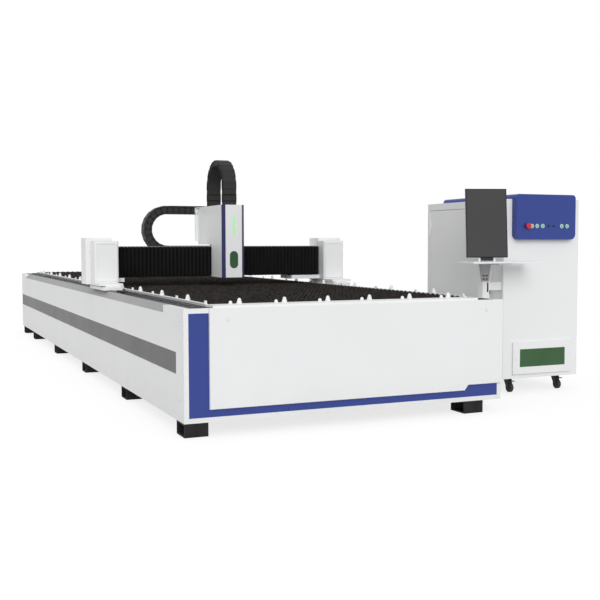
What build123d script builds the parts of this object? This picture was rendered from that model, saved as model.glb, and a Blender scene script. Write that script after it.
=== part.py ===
from build123d import *
from math import cos, pi, sin
import os

# Flatbed laser cutting machine: a long table of saw-tooth slats, a gantry that travels over it,
# a carriage with the cutting head on the gantry, and a control cabinet that stands beside the table.
# X runs across the table, Y runs along it away from the operator, Z is up, in millimetres.
# The origin is on the floor, at the middle of the whole outline.
os.makedirs("parts", exist_ok=True)

# Table
bed_length = 7500
bed_width = 2260
bed_top = 772
foot_height = 84
skin = 5
beam_width = 190
beam_wall = 8
deck_recess = 82
deck_height = bed_top - deck_recess
edge_bevel = 46
corner_length = 450
band_bottom = 365
band_height = 134
band_depth = 2.5
cross_beam = 150
end_wall = 6
upstand = 8
upstand_top = bed_top + 13

# Front cladding
frame_margin = 30
inset_sheet = 2.5
panel_proud = 20
panel_sheet = 2
panel_left = 156
panel_bottom = 79
panel_step = 36
panel_step_run = 28
panel_step_from_right = 275
lock_radius = 14
lock_head = 4
lock_from_top = 67
lock_left = 270
lock_right = 133

# Feet
foot_across = 150
foot_along = 165
foot_wall = 10
right_foot_inset = 145
foot_rows = (0, 1500, 3100)
foot_rows_from_rear = (2800, 1170, 300)

# Slats
slat_pitch = 65
slat_thickness = 4
slat_height = 100
slat_teeth = 6
tooth_depth = 22
shoulder_drop = 26
shoulder_length = 34
slat_end_gap = 2
rail_sheet = 5
rail_flange = 23
rail_ledge = 26
slat_rail_top = bed_top + 18
slat_tip = bed_top + 23

# Ball units and clips along the slat rails
ball_radius = 18
ball_height = 36
ball_pitch = 635
ball_first = 560
clip_first = 160
clip_length = 30
clip_height = 16
front_ball_pitch = 303
front_ball_first = 397
front_ball_y = 128
small_ball_radius = 13
small_ball_height = 22
small_ball_step = 62

# Rail covers and guideways
cover_sheet = 2
cover_slot = 46
rail_width = 30
rail_height = 26
rack_thick = 20
rack_height = 60
rack_gap = 22
fit = 0.3
running = 0.05

# Gantry
gantry_front = 2500
post_width = 200
post_overhang = 22
post_depth = 150
post_bottom = bed_top + 58
post_top = bed_top + 408
post_sheet = 4
post_groove = 10
end_box_wing = 45
end_box_inner = 160
end_box_depth = 200
end_box_bottom = bed_top + 43
end_box_top = bed_top + 436
foot_plate_edge = 5
foot_plate_inner = 165
foot_plate_bottom = bed_top + 4
foot_plate_top = bed_top + 30
foot_plate_lead = 200
foot_plate_tail = 360
lip_lead = 160
lip_bottom = bed_top + 40
neck_width = 30
block_width = 60
block_length = 110
pinion_radius = 25
pinion_height = 24
motor_size = 100
motor_height = 220
shaft_radius = 9
beam_front = 2700
beam_depth = 280
beam_bottom = bed_top + 118
beam_height = 225
beam_shell = 10
bracket_bottom = bed_top + 60
bracket_front = 2600
bracket_height = 34
left_bracket = 70
right_bracket = 280

# Bellows
bellows_front = 2600
bellows_bottom = bed_top + 98
bellows_top = bed_top + 364
pleat_pitch = 34
pleat_depth = 14
bellows_wall = 14

# Carriage
carriage_width = 200
carriage_front = 2290
carriage_bottom = bed_top + 94
carriage_top = bed_top + 718
carriage_step = bed_top + 378
carriage_rear = 2985
carriage_sheet = 3
corner_bevel = 25
trim_sheet = 2
led_width = 18
led_bottom = bed_top + 457
led_height = 173
window_width = 73
window_bottom = bed_top + 174
window_height = 147
glass_depth = 4
saddle_front = 2640
saddle_plate = 20
saddle_bottom = bed_top + 98
saddle_top = bed_top + 568
x_rail_width = 26
x_rail_depth = 22
x_rail_spread = 150
x_block_length = 65
x_rack = 20
x_pinion_radius = 19.5
x_drive_offset = -55
x_motor = 76

# Head slide
z_rail_spread = 120
z_rail_width = 18
z_rail_depth = 14
z_rail_top = bed_top + 338
z_plate_back = 2600
z_plate_thick = 15
z_plate_width = 150
z_plate_bottom = bed_top + 133
z_plate_height = 125
z_block_height = 100
screw_radius = 8
screw_y = 2620
screw_bottom = bed_top + 100
z_shelf = 12
z_motor = 80
z_motor_height = 118
head_radius = 42
head_y = 2425
head_top = bed_top + 528
nozzle_tip = bed_top + 90

# Cable chains: bend radius, height and width of the links, pitch
x_bend = 182
x_chain_height = 60
x_chain_width = 100
x_pitch = 57
x_bend_from_mid = 409
x_low_run = 600
x_high_run = 500
x_bend_z = bed_top + 503
z_bend = 210
z_chain_depth = 50
z_chain_width = 115
z_pitch = 52
z_front_leg = 2362
z_bend_z = bed_top + 883
z_chain_shift = 15
y_bend = 100
y_chain_height = 50
y_chain_width = 80
y_pitch = 56
y_bend_y = 1400
chain_gap = 0.35
z_chain_foot = bed_top + 540
y_low_run = 2200
y_high_run = 1200
y_chain_z = 475
tray_sheet = 3

# Cabinet
cabinet_gap = 420
cabinet_width = 710
cabinet_front = 560
cabinet_depth = 1100
cabinet_bottom = 117
cabinet_top = 1490
cabinet_wall = 12
cabinet_round = 8
door_front = 695
door_rear = 1610
door_bottom = 180
door_top = 1434
door_gap = 3
door_sheet = 16
barrel = 6
barrel_length = 60
barrel_pin = 3
barrel_heights = (330, 1280)
handle_y = 742
handle_z = 832
handle_width = 26
handle_length = 78
handle_stem = 8
console_left = 73
console_width = 564
console_bottom = 1183
console_top = 1527
console_proud = 50
console_length = 1015
console_round = 42
slab_round = 30
button_z = 1286
button_radius = 11
button_depth = 6
button_proud = 9
button_well = 14
bezel = 4
bezel_proud = 3
button_names = ("emergency_stop", "button_1", "button_2", "button_3", "button_4", "button_5")
button_places = (175, 221, 269, 321, 501, 553)
stop_radius = 22
stop_stem = 9
stop_proud = 30
stop_head = 16
hatch_left = 87
hatch_width = 549
hatch_bottom = 150
hatch_height = 246
hatch_sheet = 14
hatch_seat = 1
pane_left = 150
pane_width = 428
pane_bottom = 204
pane_height = 138
pane_sheet = 5
caster_x = 127
caster_y = 109
caster_plate = 7
wheel_radius = 37.5
wheel_width = 26
caster_trail = 28
axle_radius = 5
fork_sheet = 4
fork_top = 108
swivel_pin = 6

# Monitor and shelf
stand_side = 60
stand_from_cabinet = 180
stand_y = 570
stand_bottom = 150
stand_top = 882
taper_top = 998
taper_width = 110
stand_off_heights = (250, 800)
shelf_from_cabinet = 451
shelf_length = 617
shelf_front = 285
shelf_depth = 215
shelf_z = 1010
shelf_thick = 12
monitor_width = 305
monitor_height = 507
monitor_thick = 42
monitor_from_cabinet = 241
monitor_y = 433
hinge_z = 1036
hinge_drop = 14
ear_spread = 56
ear_width = 12
hinge_pin = 4
monitor_turn = 20
monitor_tilt = 7

# Where the table and the cabinet lie about the origin
side_reach = post_overhang + end_box_wing
front_reach = panel_proud + lock_head
overall_width = side_reach + bed_width + cabinet_gap + cabinet_width
overall_length = front_reach + bed_length
bed_left = -overall_width / 2 + side_reach
bed_right = bed_left + bed_width
bed_mid = (bed_left + bed_right) / 2
bed_front = -overall_length / 2 + front_reach
bed_rear = bed_front + bed_length
cabinet_left = bed_right + cabinet_gap
cabinet_right = cabinet_left + cabinet_width


def block(x0, x1, y0, y1, z0, z1, mode=Mode.ADD):
    """A block between two corners, added to the open part or cut from it."""
    with Locations(((x0 + x1) / 2, (y0 + y1) / 2, (z0 + z1) / 2)):
        Box(x1 - x0, y1 - y0, z1 - z0, mode=mode)


def side_plane(x):
    """A sketch plane across the machine's X: its own X is the machine's Y, its own Y is up."""
    return Plane(origin=(x, 0, 0), x_dir=(0, 1, 0), z_dir=(1, 0, 0))


def front_plane(y):
    """A sketch plane that faces the operator: its own X is the machine's X, its own Y is up."""
    return Plane(origin=(0, y, 0), x_dir=(1, 0, 0), z_dir=(0, -1, 0))


def save(piece, name):
    """Labels a finished piece and writes its file."""
    piece.part.label = name
    export_step(piece.part, f"parts/{name}.step")


def save_welded(pieces, name):
    """Writes members that are welded face to face, each kept as its own solid."""
    welded = Compound([solid for piece in pieces for solid in piece.part.solids()])
    welded.label = name
    export_step(welded, f"parts/{name}.step")


# Table: one welded frame of two hollow side beams, end walls and cross members
beam_inner = bed_left + skin + beam_width
beam_inner_right = bed_right - skin - beam_width
inner_span = beam_inner_right - beam_inner
cross_rows = 5

with BuildPart() as side_beams:
    with BuildSketch(front_plane(bed_rear - end_wall)):
        for middle in (bed_left + skin + beam_width / 2, bed_right - skin - beam_width / 2):
            with Locations((middle, (foot_height + deck_height) / 2)):
                Rectangle(beam_width, deck_height - foot_height)
                Rectangle(beam_width - 2 * beam_wall, deck_height - foot_height - 2 * beam_wall,
                          mode=Mode.SUBTRACT)
    extrude(amount=bed_length - 2 * end_wall)

with BuildPart() as upstands:
    for x in (beam_inner - upstand, beam_inner_right):
        block(x, x + upstand, bed_front + end_wall, bed_rear - end_wall, deck_height, upstand_top)

with BuildPart() as end_walls:
    block(bed_left, bed_right, bed_front, bed_front + end_wall, foot_height, bed_top)
    block(bed_left, bed_right, bed_rear - end_wall, bed_rear, foot_height, bed_top)
    block(bed_left + frame_margin, bed_right - frame_margin, bed_front, bed_front + inset_sheet + 1,
          foot_height + frame_margin, bed_top - frame_margin, mode=Mode.SUBTRACT)

with BuildPart() as cross_members:
    for y in (bed_front + end_wall, bed_rear - end_wall - cross_beam):
        block(beam_inner, beam_inner_right, y, y + cross_beam, deck_height - 150, upstand_top)
    for row in range(cross_rows + 2):
        y = bed_front + end_wall + row * (bed_length - 2 * end_wall) / (cross_rows + 1)
        block(beam_inner, beam_inner_right, max(y - 50, bed_front + end_wall),
              min(y + 50, bed_rear - end_wall), foot_height + 20, foot_height + 120)
save_welded((side_beams, upstands, end_walls, cross_members), "bed_frame")

# Feet: short pieces of rectangular tube with their open ends outwards
with BuildPart() as bed_feet:
    for outer, toward in ((bed_left, 1), (bed_right - right_foot_inset, -1)):
        for row in (*foot_rows, *(bed_length - inset for inset in foot_rows_from_rear)):
            middle = (outer + toward * foot_across / 2, bed_front + row + foot_along / 2)
            with BuildSketch(side_plane(middle[0])):
                with Locations((middle[1], foot_height / 2)):
                    Rectangle(foot_along, foot_height)
                    Rectangle(foot_along - 2 * foot_wall, foot_height - 2 * foot_wall,
                              mode=Mode.SUBTRACT)
            extrude(amount=foot_across / 2, both=True)
save(bed_feet, "bed_feet")

# Front cladding: a blue sheet set into the white frame, and a white panel that stands proud
inset_face = bed_front + inset_sheet + 1
with BuildPart() as front_inset:
    block(bed_left + frame_margin + fit, bed_right - frame_margin - fit,
          inset_face - inset_sheet, inset_face,
          foot_height + frame_margin + fit, bed_top - frame_margin - fit)
save(front_inset, "front_inset")

panel_low = foot_height + panel_bottom
step_x = bed_right - panel_step_from_right
with BuildPart() as front_panel:
    with BuildSketch(front_plane(bed_front)):
        with BuildLine():
            Polyline((bed_left + panel_left, panel_low), (step_x - panel_step_run, panel_low),
                     (step_x, panel_low + panel_step), (bed_right, panel_low + panel_step),
                     (bed_right, bed_top), (bed_left + panel_left, bed_top), close=True)
        make_face()
    extrude(amount=panel_proud)
    chamfer(front_panel.edges().group_by(Axis.Y)[0], length=panel_sheet)
    offset(amount=-panel_sheet, openings=front_panel.faces().sort_by(Axis.Y)[-1])
save(front_panel, "front_panel")

lock_places = ((bed_left + lock_left, bed_top - lock_from_top),
               (bed_right - lock_right, bed_top - lock_from_top))
with BuildPart() as panel_locks:
    with BuildSketch(front_plane(bed_front - panel_proud)):
        with Locations(*lock_places):
            Circle(lock_radius)
    extrude(amount=lock_head, taper=20)
    with BuildSketch(front_plane(bed_front - panel_proud - lock_head)):
        with Locations(*lock_places):
            Rectangle(lock_radius, 2.5, rotation=30)
    extrude(amount=-lock_head / 2, mode=Mode.SUBTRACT)
save(panel_locks, "panel_locks")

# Side and rear cladding: folded sheets with a bevelled top edge and a long shallow band
with BuildPart() as bed_panels:
    for face_x, inward in ((bed_left, 1), (bed_right, -1)):
        with BuildSketch(front_plane(bed_rear - end_wall)):
            with BuildLine():
                Polyline((face_x, foot_height), (face_x, bed_top - cover_sheet),
                         (face_x + inward * (edge_bevel + 20), bed_top - cover_sheet),
                         (face_x + inward * (edge_bevel + 20), bed_top - cover_sheet - skin),
                         (face_x + inward * (edge_bevel + 2), bed_top - cover_sheet - skin),
                         (face_x + inward * skin, bed_top - cover_sheet - edge_bevel - 2),
                         (face_x + inward * skin, foot_height), close=True)
            make_face()
        extrude(amount=bed_length - 2 * end_wall)
        with BuildSketch(side_plane(face_x)):
            with BuildLine():
                Polyline((bed_front + corner_length, bed_top),
                         (bed_front + corner_length + edge_bevel, bed_top - edge_bevel - cover_sheet),
                         (bed_rear - corner_length * 0.75, bed_top - edge_bevel - cover_sheet),
                         (bed_rear - corner_length * 0.75, bed_top), close=True)
            make_face()
        with BuildSketch(side_plane(face_x + inward * edge_bevel)):
            with BuildLine():
                Polyline((bed_front + corner_length, bed_top),
                         (bed_front + corner_length, bed_top - cover_sheet),
                         (bed_rear - corner_length * 0.75, bed_top - cover_sheet),
                         (bed_rear - corner_length * 0.75, bed_top), close=True)
            make_face()
        loft(mode=Mode.SUBTRACT)
        block(min(face_x, face_x + inward * band_depth), max(face_x, face_x + inward * band_depth),
              bed_front + foot_along, bed_rear, band_bottom, band_bottom + band_height,
              mode=Mode.SUBTRACT)
save(bed_panels, "bed_panels")

# Linear guideways along both side beams: a rail and a rack on each
rail_x = (bed_left + skin + beam_width / 2, bed_right - skin - beam_width / 2)
way_start = bed_front + end_wall + 20
way_end = bed_rear - end_wall - 20
with BuildPart() as y_guideways:
    for x, outward in zip(rail_x, (-1, 1)):
        with BuildSketch(front_plane(way_end)):
            with BuildLine():
                Polyline((x - rail_width / 2, deck_height), (x + rail_width / 2, deck_height),
                         (x + rail_width / 2, deck_height + 8), (x + rail_width / 3, deck_height + 14),
                         (x + rail_width / 2, deck_height + rail_height - 4),
                         (x + rail_width / 2, deck_height + rail_height),
                         (x - rail_width / 2, deck_height + rail_height),
                         (x - rail_width / 2, deck_height + rail_height - 4),
                         (x - rail_width / 3, deck_height + 14), (x - rail_width / 2, deck_height + 8),
                         close=True)
            make_face()
        extrude(amount=way_end - way_start)
        rack_x = x + outward * (rail_width / 2 + rack_gap)
        block(min(rack_x, rack_x + outward * rack_thick), max(rack_x, rack_x + outward * rack_thick),
              way_start, way_end, deck_height, deck_height + rack_height)
save(y_guideways, "y_guideways")

# Rail covers: two black strips over each guideway, with a slot between them for the gantry
with BuildPart() as rail_covers:
    for x, outward, face_x, inner in ((rail_x[0], -1, bed_left, beam_inner),
                                      (rail_x[1], 1, bed_right, beam_inner_right)):
        outer_edge = face_x - outward * (edge_bevel + 4)
        inner_edge = inner + outward * (upstand + fit)
        for a, b in ((outer_edge, x + outward * cover_slot / 2), (x - outward * cover_slot / 2, inner_edge)):
            block(min(a, b), max(a, b), bed_front + end_wall + fit, bed_rear - end_wall - fit,
                  bed_top - cover_sheet, bed_top)
save(rail_covers, "rail_covers")

# Slat rails: folded sheets along the inside of the side beams, with a ledge for the slats
ledge_top = slat_tip - slat_height
table_front = bed_front + end_wall + cross_beam
table_rear = bed_rear - end_wall - cross_beam
with BuildPart() as slat_rails:
    for x, inward in ((beam_inner, 1), (beam_inner_right, -1)):
        with BuildSketch(front_plane(table_rear - fit)):
            with BuildLine():
                Polyline((x, slat_rail_top - rail_sheet), (x - inward * (rail_flange - rail_sheet), slat_rail_top - rail_sheet),
                         (x - inward * (rail_flange - rail_sheet), slat_rail_top),
                         (x + inward * rail_sheet, slat_rail_top),
                         (x + inward * rail_sheet, ledge_top), (x + inward * rail_ledge, ledge_top),
                         (x + inward * rail_ledge, ledge_top - rail_sheet),
                         (x, ledge_top - rail_sheet), close=True)
            make_face()
        extrude(amount=table_rear - table_front - 2 * fit)
        with BuildSketch(Plane.XY.offset(slat_rail_top)):
            rows = int((bed_length - clip_first - 200) / ball_pitch) + 1
            for row in range(rows):
                with Locations((x, bed_front + clip_first + 20 + row * ball_pitch)):
                    Rectangle(rail_sheet * 2, clip_length)
        extrude(amount=clip_height)
save(slat_rails, "slat_rails")

# Slats: saw-tooth plates across the table
slat_left = beam_inner + rail_sheet + slat_end_gap
slat_right = beam_inner_right - rail_sheet - slat_end_gap
slat_count = int((table_rear - table_front - slat_pitch) / slat_pitch) + 1
tooth_run = (slat_right - slat_left - 2 * shoulder_length) / slat_teeth
slat_low = ledge_top
shoulder_z = slat_tip - shoulder_drop
outline = [(slat_left, slat_low), (slat_right, slat_low), (slat_right, shoulder_z)]
for tooth in range(slat_teeth, -1, -1):
    x = slat_left + shoulder_length + tooth * tooth_run
    if tooth < slat_teeth:
        outline.append((x, slat_tip))
    if tooth > 0:
        outline.append((x, slat_tip - tooth_depth))
outline += [(slat_left + shoulder_length, shoulder_z), (slat_left, shoulder_z)]
slat_rows = [table_front + slat_pitch / 2 + row * slat_pitch for row in range(slat_count)]
with BuildPart() as slats:
    with BuildSketch(*[front_plane(y + slat_thickness / 2) for y in slat_rows]):
        Polygon(*outline, align=None)
    extrude(amount=slat_thickness)
save(slats, "slats")

# Ball units: flanged domes that carry a sheet while it is pushed onto the slats
ball_spots = [(x + inward * (rail_sheet - 4), bed_front + ball_first + row * ball_pitch)
              for x, inward in ((beam_inner, 1), (beam_inner_right, -1))
              for row in range(int((bed_length - ball_first - 200) / ball_pitch) + 1)]
front_count = int((inner_span - front_ball_first + beam_width) / front_ball_pitch) + 1
front_spots = [(bed_left + front_ball_first + n * front_ball_pitch, bed_front + front_ball_y)
               for n in range(front_count)]
small_spots = [(x - small_ball_step, y - small_ball_radius) for x, y in front_spots]
with BuildPart() as ball_units:
    for spots, base, radius, height in ((ball_spots, slat_rail_top, ball_radius, ball_height),
                                        (front_spots, upstand_top, ball_radius, ball_height),
                                        (small_spots, upstand_top, small_ball_radius, small_ball_height)):
        with BuildSketch(Plane.XY.offset(base)):
            with Locations(*spots):
                RegularPolygon(radius, 8)
        extrude(amount=height, taper=18)
save(ball_units, "ball_units")

# Scrap trays: open boxes that rest on the cross members below the slats
tray_span = (bed_length - 2 * end_wall) / (cross_rows + 1)
tray_floor = foot_height + 120
tray_sheet_metal = 4
with BuildPart() as scrap_trays:
    for row in range(cross_rows + 1):
        y0 = bed_front + end_wall + row * tray_span + 5
        y1 = y0 + tray_span - 10
        block(beam_inner + 20, beam_inner_right - 20, y0, y1, tray_floor, tray_floor + 180)
        block(beam_inner + 20 + tray_sheet_metal, beam_inner_right - 20 - tray_sheet_metal,
              y0 + tray_sheet_metal, y1 - tray_sheet_metal,
              tray_floor + tray_sheet_metal, tray_floor + 181, mode=Mode.SUBTRACT)
save(scrap_trays, "scrap_trays")

# Gantry feet: a saddle on each guideway, its neck passing through the slot in the covers
foot_start = bed_front + gantry_front - foot_plate_lead
foot_end = bed_front + gantry_front + foot_plate_tail
drive_y = bed_front + gantry_front + post_depth / 2
sides = ((bed_left, 1), (bed_right, -1))
rack_reach = rail_width / 2 + rack_gap


def span(face_x, inward, near, far):
    """The two X values of something measured inwards from one side of the table, in order."""
    return sorted((face_x + inward * near, face_x + inward * far))


rail_offset = skin + beam_width / 2
drive_offset = rail_offset - rack_reach + pinion_radius + running * 10
with BuildPart() as gantry_slides:
    for face_x, inward in sides:
        block(*span(face_x, inward, foot_plate_edge, foot_plate_inner), foot_start, foot_end,
              foot_plate_bottom, foot_plate_top)
        block(*span(face_x, inward, 30, foot_plate_inner - 15), foot_start + 10, foot_end - 10,
              foot_plate_top, lip_bottom)
        block(*span(face_x, inward, -post_overhang, foot_plate_inner),
              bed_front + gantry_front - lip_lead, foot_end, lip_bottom, post_bottom)
        for y in (foot_start + 15, foot_end - 15 - block_length):
            block(*span(face_x, inward, rail_offset - neck_width / 2, rail_offset + neck_width / 2),
                  y, y + block_length, deck_height + rail_height + 10, foot_plate_bottom)
            block(*span(face_x, inward, rail_offset - block_width / 2, rail_offset + block_width / 2),
                  y, y + block_length, deck_height + 4, deck_height + rail_height + 10)
            block(*span(face_x, inward, rail_offset - rail_width / 2 - fit, rail_offset + rail_width / 2 + fit),
                  y, y + block_length, deck_height + 4, deck_height + rail_height + fit,
                  mode=Mode.SUBTRACT)
        with Locations((face_x + inward * drive_offset, drive_y, foot_plate_bottom)):
            Cylinder(shaft_radius + 4, 200, mode=Mode.SUBTRACT)
save(gantry_slides, "gantry_slides")

# Gantry drives: a motor on each foot, its shaft and pinion reaching down to the rack
with BuildPart() as y_drives:
    for face_x, inward in sides:
        x = face_x + inward * drive_offset
        block(x - motor_size / 2, x + motor_size / 2, drive_y - motor_size / 2,
              drive_y + motor_size / 2, post_bottom, post_bottom + motor_height)
        with BuildSketch(Plane.XY.offset(deck_height + rack_height - pinion_height)):
            with Locations((x, drive_y)):
                Circle(pinion_radius)
        extrude(amount=pinion_height)
        with BuildSketch(Plane.XY.offset(deck_height + rack_height)):
            with Locations((x, drive_y)):
                Circle(shaft_radius)
        extrude(amount=post_bottom - deck_height - rack_height)
save(y_drives, "y_drives")

# Gantry posts: a folded box in front and a taller end box behind it, with a groove between them
groove_y = bed_front + gantry_front + post_depth
box_front = groove_y + post_groove
for name, face_x, inward in (("left_post", bed_left, 1), ("right_post", bed_right, -1)):
    with BuildPart() as post:
        block(*span(face_x, inward, -post_overhang, post_width - post_overhang),
              bed_front + gantry_front, groove_y, post_bottom, post_top)
        chamfer(post.edges().filter_by(Axis.Z).sort_by(Axis.Y)[0:2], length=6)
        block(*span(face_x, inward, -post_overhang + 12, post_width - post_overhang - 30),
              groove_y, box_front, post_bottom, post_top - 12)
        block(*span(face_x, inward, -post_overhang - end_box_wing, end_box_inner),
              box_front, box_front + end_box_depth, post_bottom, end_box_top)
        block(*span(face_x, inward, -post_overhang - end_box_wing, -post_overhang - 1),
              box_front, box_front + end_box_depth, end_box_bottom, post_bottom)
        block(*span(face_x, inward, -post_overhang + post_sheet, post_width - post_overhang - post_sheet),
              bed_front + gantry_front + post_sheet, groove_y - post_sheet,
              post_bottom, post_top - post_sheet, mode=Mode.SUBTRACT)
        block(*span(face_x, inward, -post_overhang + post_sheet, end_box_inner - post_sheet),
              box_front + post_sheet, box_front + end_box_depth - post_sheet,
              post_bottom, end_box_top - post_sheet, mode=Mode.SUBTRACT)
        if name == "right_post":
            chain_end = bed_front + y_bend_y + y_high_run
            block(bed_right + post_overhang, bed_right + post_overhang + 6, chain_end + fit, chain_end + 45,
                  y_chain_z + y_bend - y_chain_height / 2, post_bottom + 40)
            block(bed_right + 8, bed_right + 3 + y_chain_width, chain_end + fit, chain_end + 6,
                  y_chain_z + y_bend - y_chain_height / 2, y_chain_z + y_bend + y_chain_height / 2)
    save(post, name)

# Gantry beam: a hollow box between the end boxes, with a bracket under each end
beam_y = bed_front + beam_front
beam_back = beam_y + beam_depth
beam_top = beam_bottom + beam_height
with BuildPart() as gantry_beam:
    block(bed_left + end_box_inner, bed_right - end_box_inner, beam_y, beam_back, beam_bottom, beam_top)
    block(bed_left + end_box_inner, bed_right - end_box_inner, beam_y + beam_shell, beam_back - beam_shell,
          beam_bottom + beam_shell, beam_top - beam_shell, mode=Mode.SUBTRACT)
    for face_x, inward, reach in ((bed_left, 1, left_bracket), (bed_right, -1, right_bracket)):
        start = post_width - post_overhang
        block(*span(face_x, inward, start, start + reach), bed_front + bracket_front,
              beam_y + beam_depth * 0.6, bracket_bottom, bracket_bottom + bracket_height)
        block(*span(face_x, inward, start, start + reach), beam_y, beam_y + beam_depth * 0.6,
              bracket_bottom, beam_bottom)
save(gantry_beam, "gantry_beam")

# Cross guideway: two rails on the front of the beam and a rack along its top edge
x_rail_mid = (beam_bottom + beam_top) / 2
x_rail_heights = (x_rail_mid - x_rail_spread / 2, x_rail_mid + x_rail_spread / 2)
x_way = (bed_left + post_width - post_overhang + 4, bed_right - post_width + post_overhang - 4)
with BuildPart() as x_guideway:
    for z in x_rail_heights:
        block(*x_way, beam_y - x_rail_depth, beam_y, z - x_rail_width / 2, z + x_rail_width / 2)
    block(*x_way, beam_y, beam_y + x_rack, beam_top, beam_top + x_rack)
save(x_guideway, "x_guideway")

# Bellows over the cross guideway, on both sides of the carriage
carriage_left = bed_mid - carriage_width / 2
carriage_right = bed_mid + carriage_width / 2
bellows_y = bed_front + bellows_front
bellows_back = beam_y - 10
for name, a, b in (("bellows_left", bed_left + post_width - post_overhang + fit, carriage_left - fit),
                   ("bellows_right", carriage_right + fit, bed_right - post_width + post_overhang - fit)):
    pleats = round((b - a) / pleat_pitch)
    half = (b - a) / pleats / 2
    edge = [(a + n * half, bellows_y + (0 if n % 2 else pleat_depth)) for n in range(2 * pleats + 1)]
    inner = [(x, y + bellows_wall) for x, y in reversed(edge)]
    with BuildPart() as bellows:
        with BuildSketch(Plane.XY.offset(bellows_bottom)):
            Polygon(*edge, *inner, align=None)
        extrude(amount=bellows_top - bellows_bottom)
        with BuildSketch(Plane.XY.offset(bellows_bottom), Plane.XY.offset(bellows_top - bellows_wall)):
            Polygon(*edge, (b, bellows_back), (a, bellows_back), align=None)
        extrude(amount=bellows_wall)
    save(bellows, name)


def chain_links(start, first, bend, last, pitch):
    """Links along a straight run, a half turn and a straight run back: centre, heading and length.

    The path starts at start and runs along the heading (-1, 0); the half turn rises by twice the
    bend radius. Both ends of every link lie on the path. The links are grouped by their length."""
    total = first + pi * bend + last
    count = round(total / pitch)
    pins = []
    for n in range(count + 1):
        s = n * total / count
        turn = min(max((s - first) / bend, 0), pi)
        back = max(s - first - pi * bend, 0)
        pins.append((start[0] - min(s, first) - bend * sin(turn) + back,
                     start[1] + bend - bend * cos(turn)))
    groups = {}
    for (a, b), (c, d) in zip(pins, pins[1:]):
        size = ((c - a) ** 2 + (d - b) ** 2) ** 0.5
        place = (((a + c) / 2, (b + d) / 2), ((c - a) / size, (d - b) / size))
        groups.setdefault(round(size, 1), []).append(place)
    return groups


def link_profile(size, height, bend):
    """A hexagon with its ends cut back above and below, so neighbours clear each other in the bend."""
    long = size / 2 - chain_gap / 2
    short = long - height / 2 * size / 2 / bend - 1
    return [(-long, 0), (-short, height / 2), (short, height / 2), (long, 0),
            (short, -height / 2), (-short, -height / 2)]


# Cross cable chain and its tray, behind the beam
x_bend_x = bed_mid - x_bend_from_mid
x_chain_y = beam_back + 20
x_chain_mid = x_chain_y + x_chain_width / 2
groups = chain_links((x_bend_x + x_low_run, x_bend_z - x_bend), x_low_run, x_bend, x_high_run, x_pitch)
with BuildPart() as x_chain:
    for size, places in groups.items():
        with BuildSketch(*[Plane(origin=(x, x_chain_mid, z), x_dir=(u, 0, w), z_dir=(0, -1, 0))
                           for (x, z), (u, w) in places]):
            Polygon(*link_profile(size, x_chain_height, x_bend), align=None)
        extrude(amount=x_chain_width / 2, both=True)
save(x_chain, "x_chain")

x_tray_z = x_bend_z - x_bend - x_chain_height / 2 - fit
with BuildPart() as x_chain_tray:
    block(bed_left + 130, x_bend_x + x_low_run + 20, beam_back, x_chain_y + x_chain_width + 8,
          x_tray_z - tray_sheet, x_tray_z)
    block(bed_left + 130, x_bend_x + x_low_run + 20, x_chain_y + x_chain_width + 8 - tray_sheet,
          x_chain_y + x_chain_width + 8, x_tray_z, x_tray_z + 20)
    block(bed_left + 130, x_bend_x + x_low_run + 20, beam_back, beam_back + tray_sheet,
          x_tray_z - 60, x_tray_z)
    block(x_bend_x + x_low_run + fit, x_bend_x + x_low_run + 6, x_chain_y, x_chain_y + x_chain_width,
          x_tray_z, x_tray_z + x_chain_height)
save(x_chain_tray, "x_chain_tray")

# Long cable chain and its tray, on the right side of the table
y_chain_mid = bed_right + 3 + y_chain_width / 2
groups = chain_links((y_bend_y + y_low_run, y_chain_z - y_bend), y_low_run, y_bend, y_high_run, y_pitch)
with BuildPart() as y_chain:
    for size, places in groups.items():
        with BuildSketch(*[Plane(origin=(y_chain_mid, bed_front + y, z), x_dir=(0, u, w), z_dir=(1, 0, 0))
                           for (y, z), (u, w) in places]):
            Polygon(*link_profile(size, y_chain_height, y_bend), align=None)
        extrude(amount=y_chain_width / 2 - 2, both=True)
save(y_chain, "y_chain")

y_tray_z = y_chain_z - y_bend - y_chain_height / 2 - fit
y_tray_end = bed_front + y_bend_y + y_low_run
with BuildPart() as y_chain_tray:
    block(bed_right, bed_right + 3 + y_chain_width + 6, bed_front + 300, y_tray_end + 6,
          y_tray_z - tray_sheet, y_tray_z)
    block(bed_right + 3 + y_chain_width + 3, bed_right + 3 + y_chain_width + 6,
          bed_front + 300, y_tray_end + 6, y_tray_z, y_tray_z + 20)
    block(bed_right, bed_right + 3 + y_chain_width, y_tray_end + fit, y_tray_end + 6,
          y_tray_z, y_tray_z + y_chain_height)
    block(bed_right, bed_right + tray_sheet, bed_front + 300, y_tray_end + 6, y_tray_z - 40, y_tray_z)
save(y_chain_tray, "y_chain_tray")

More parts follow.
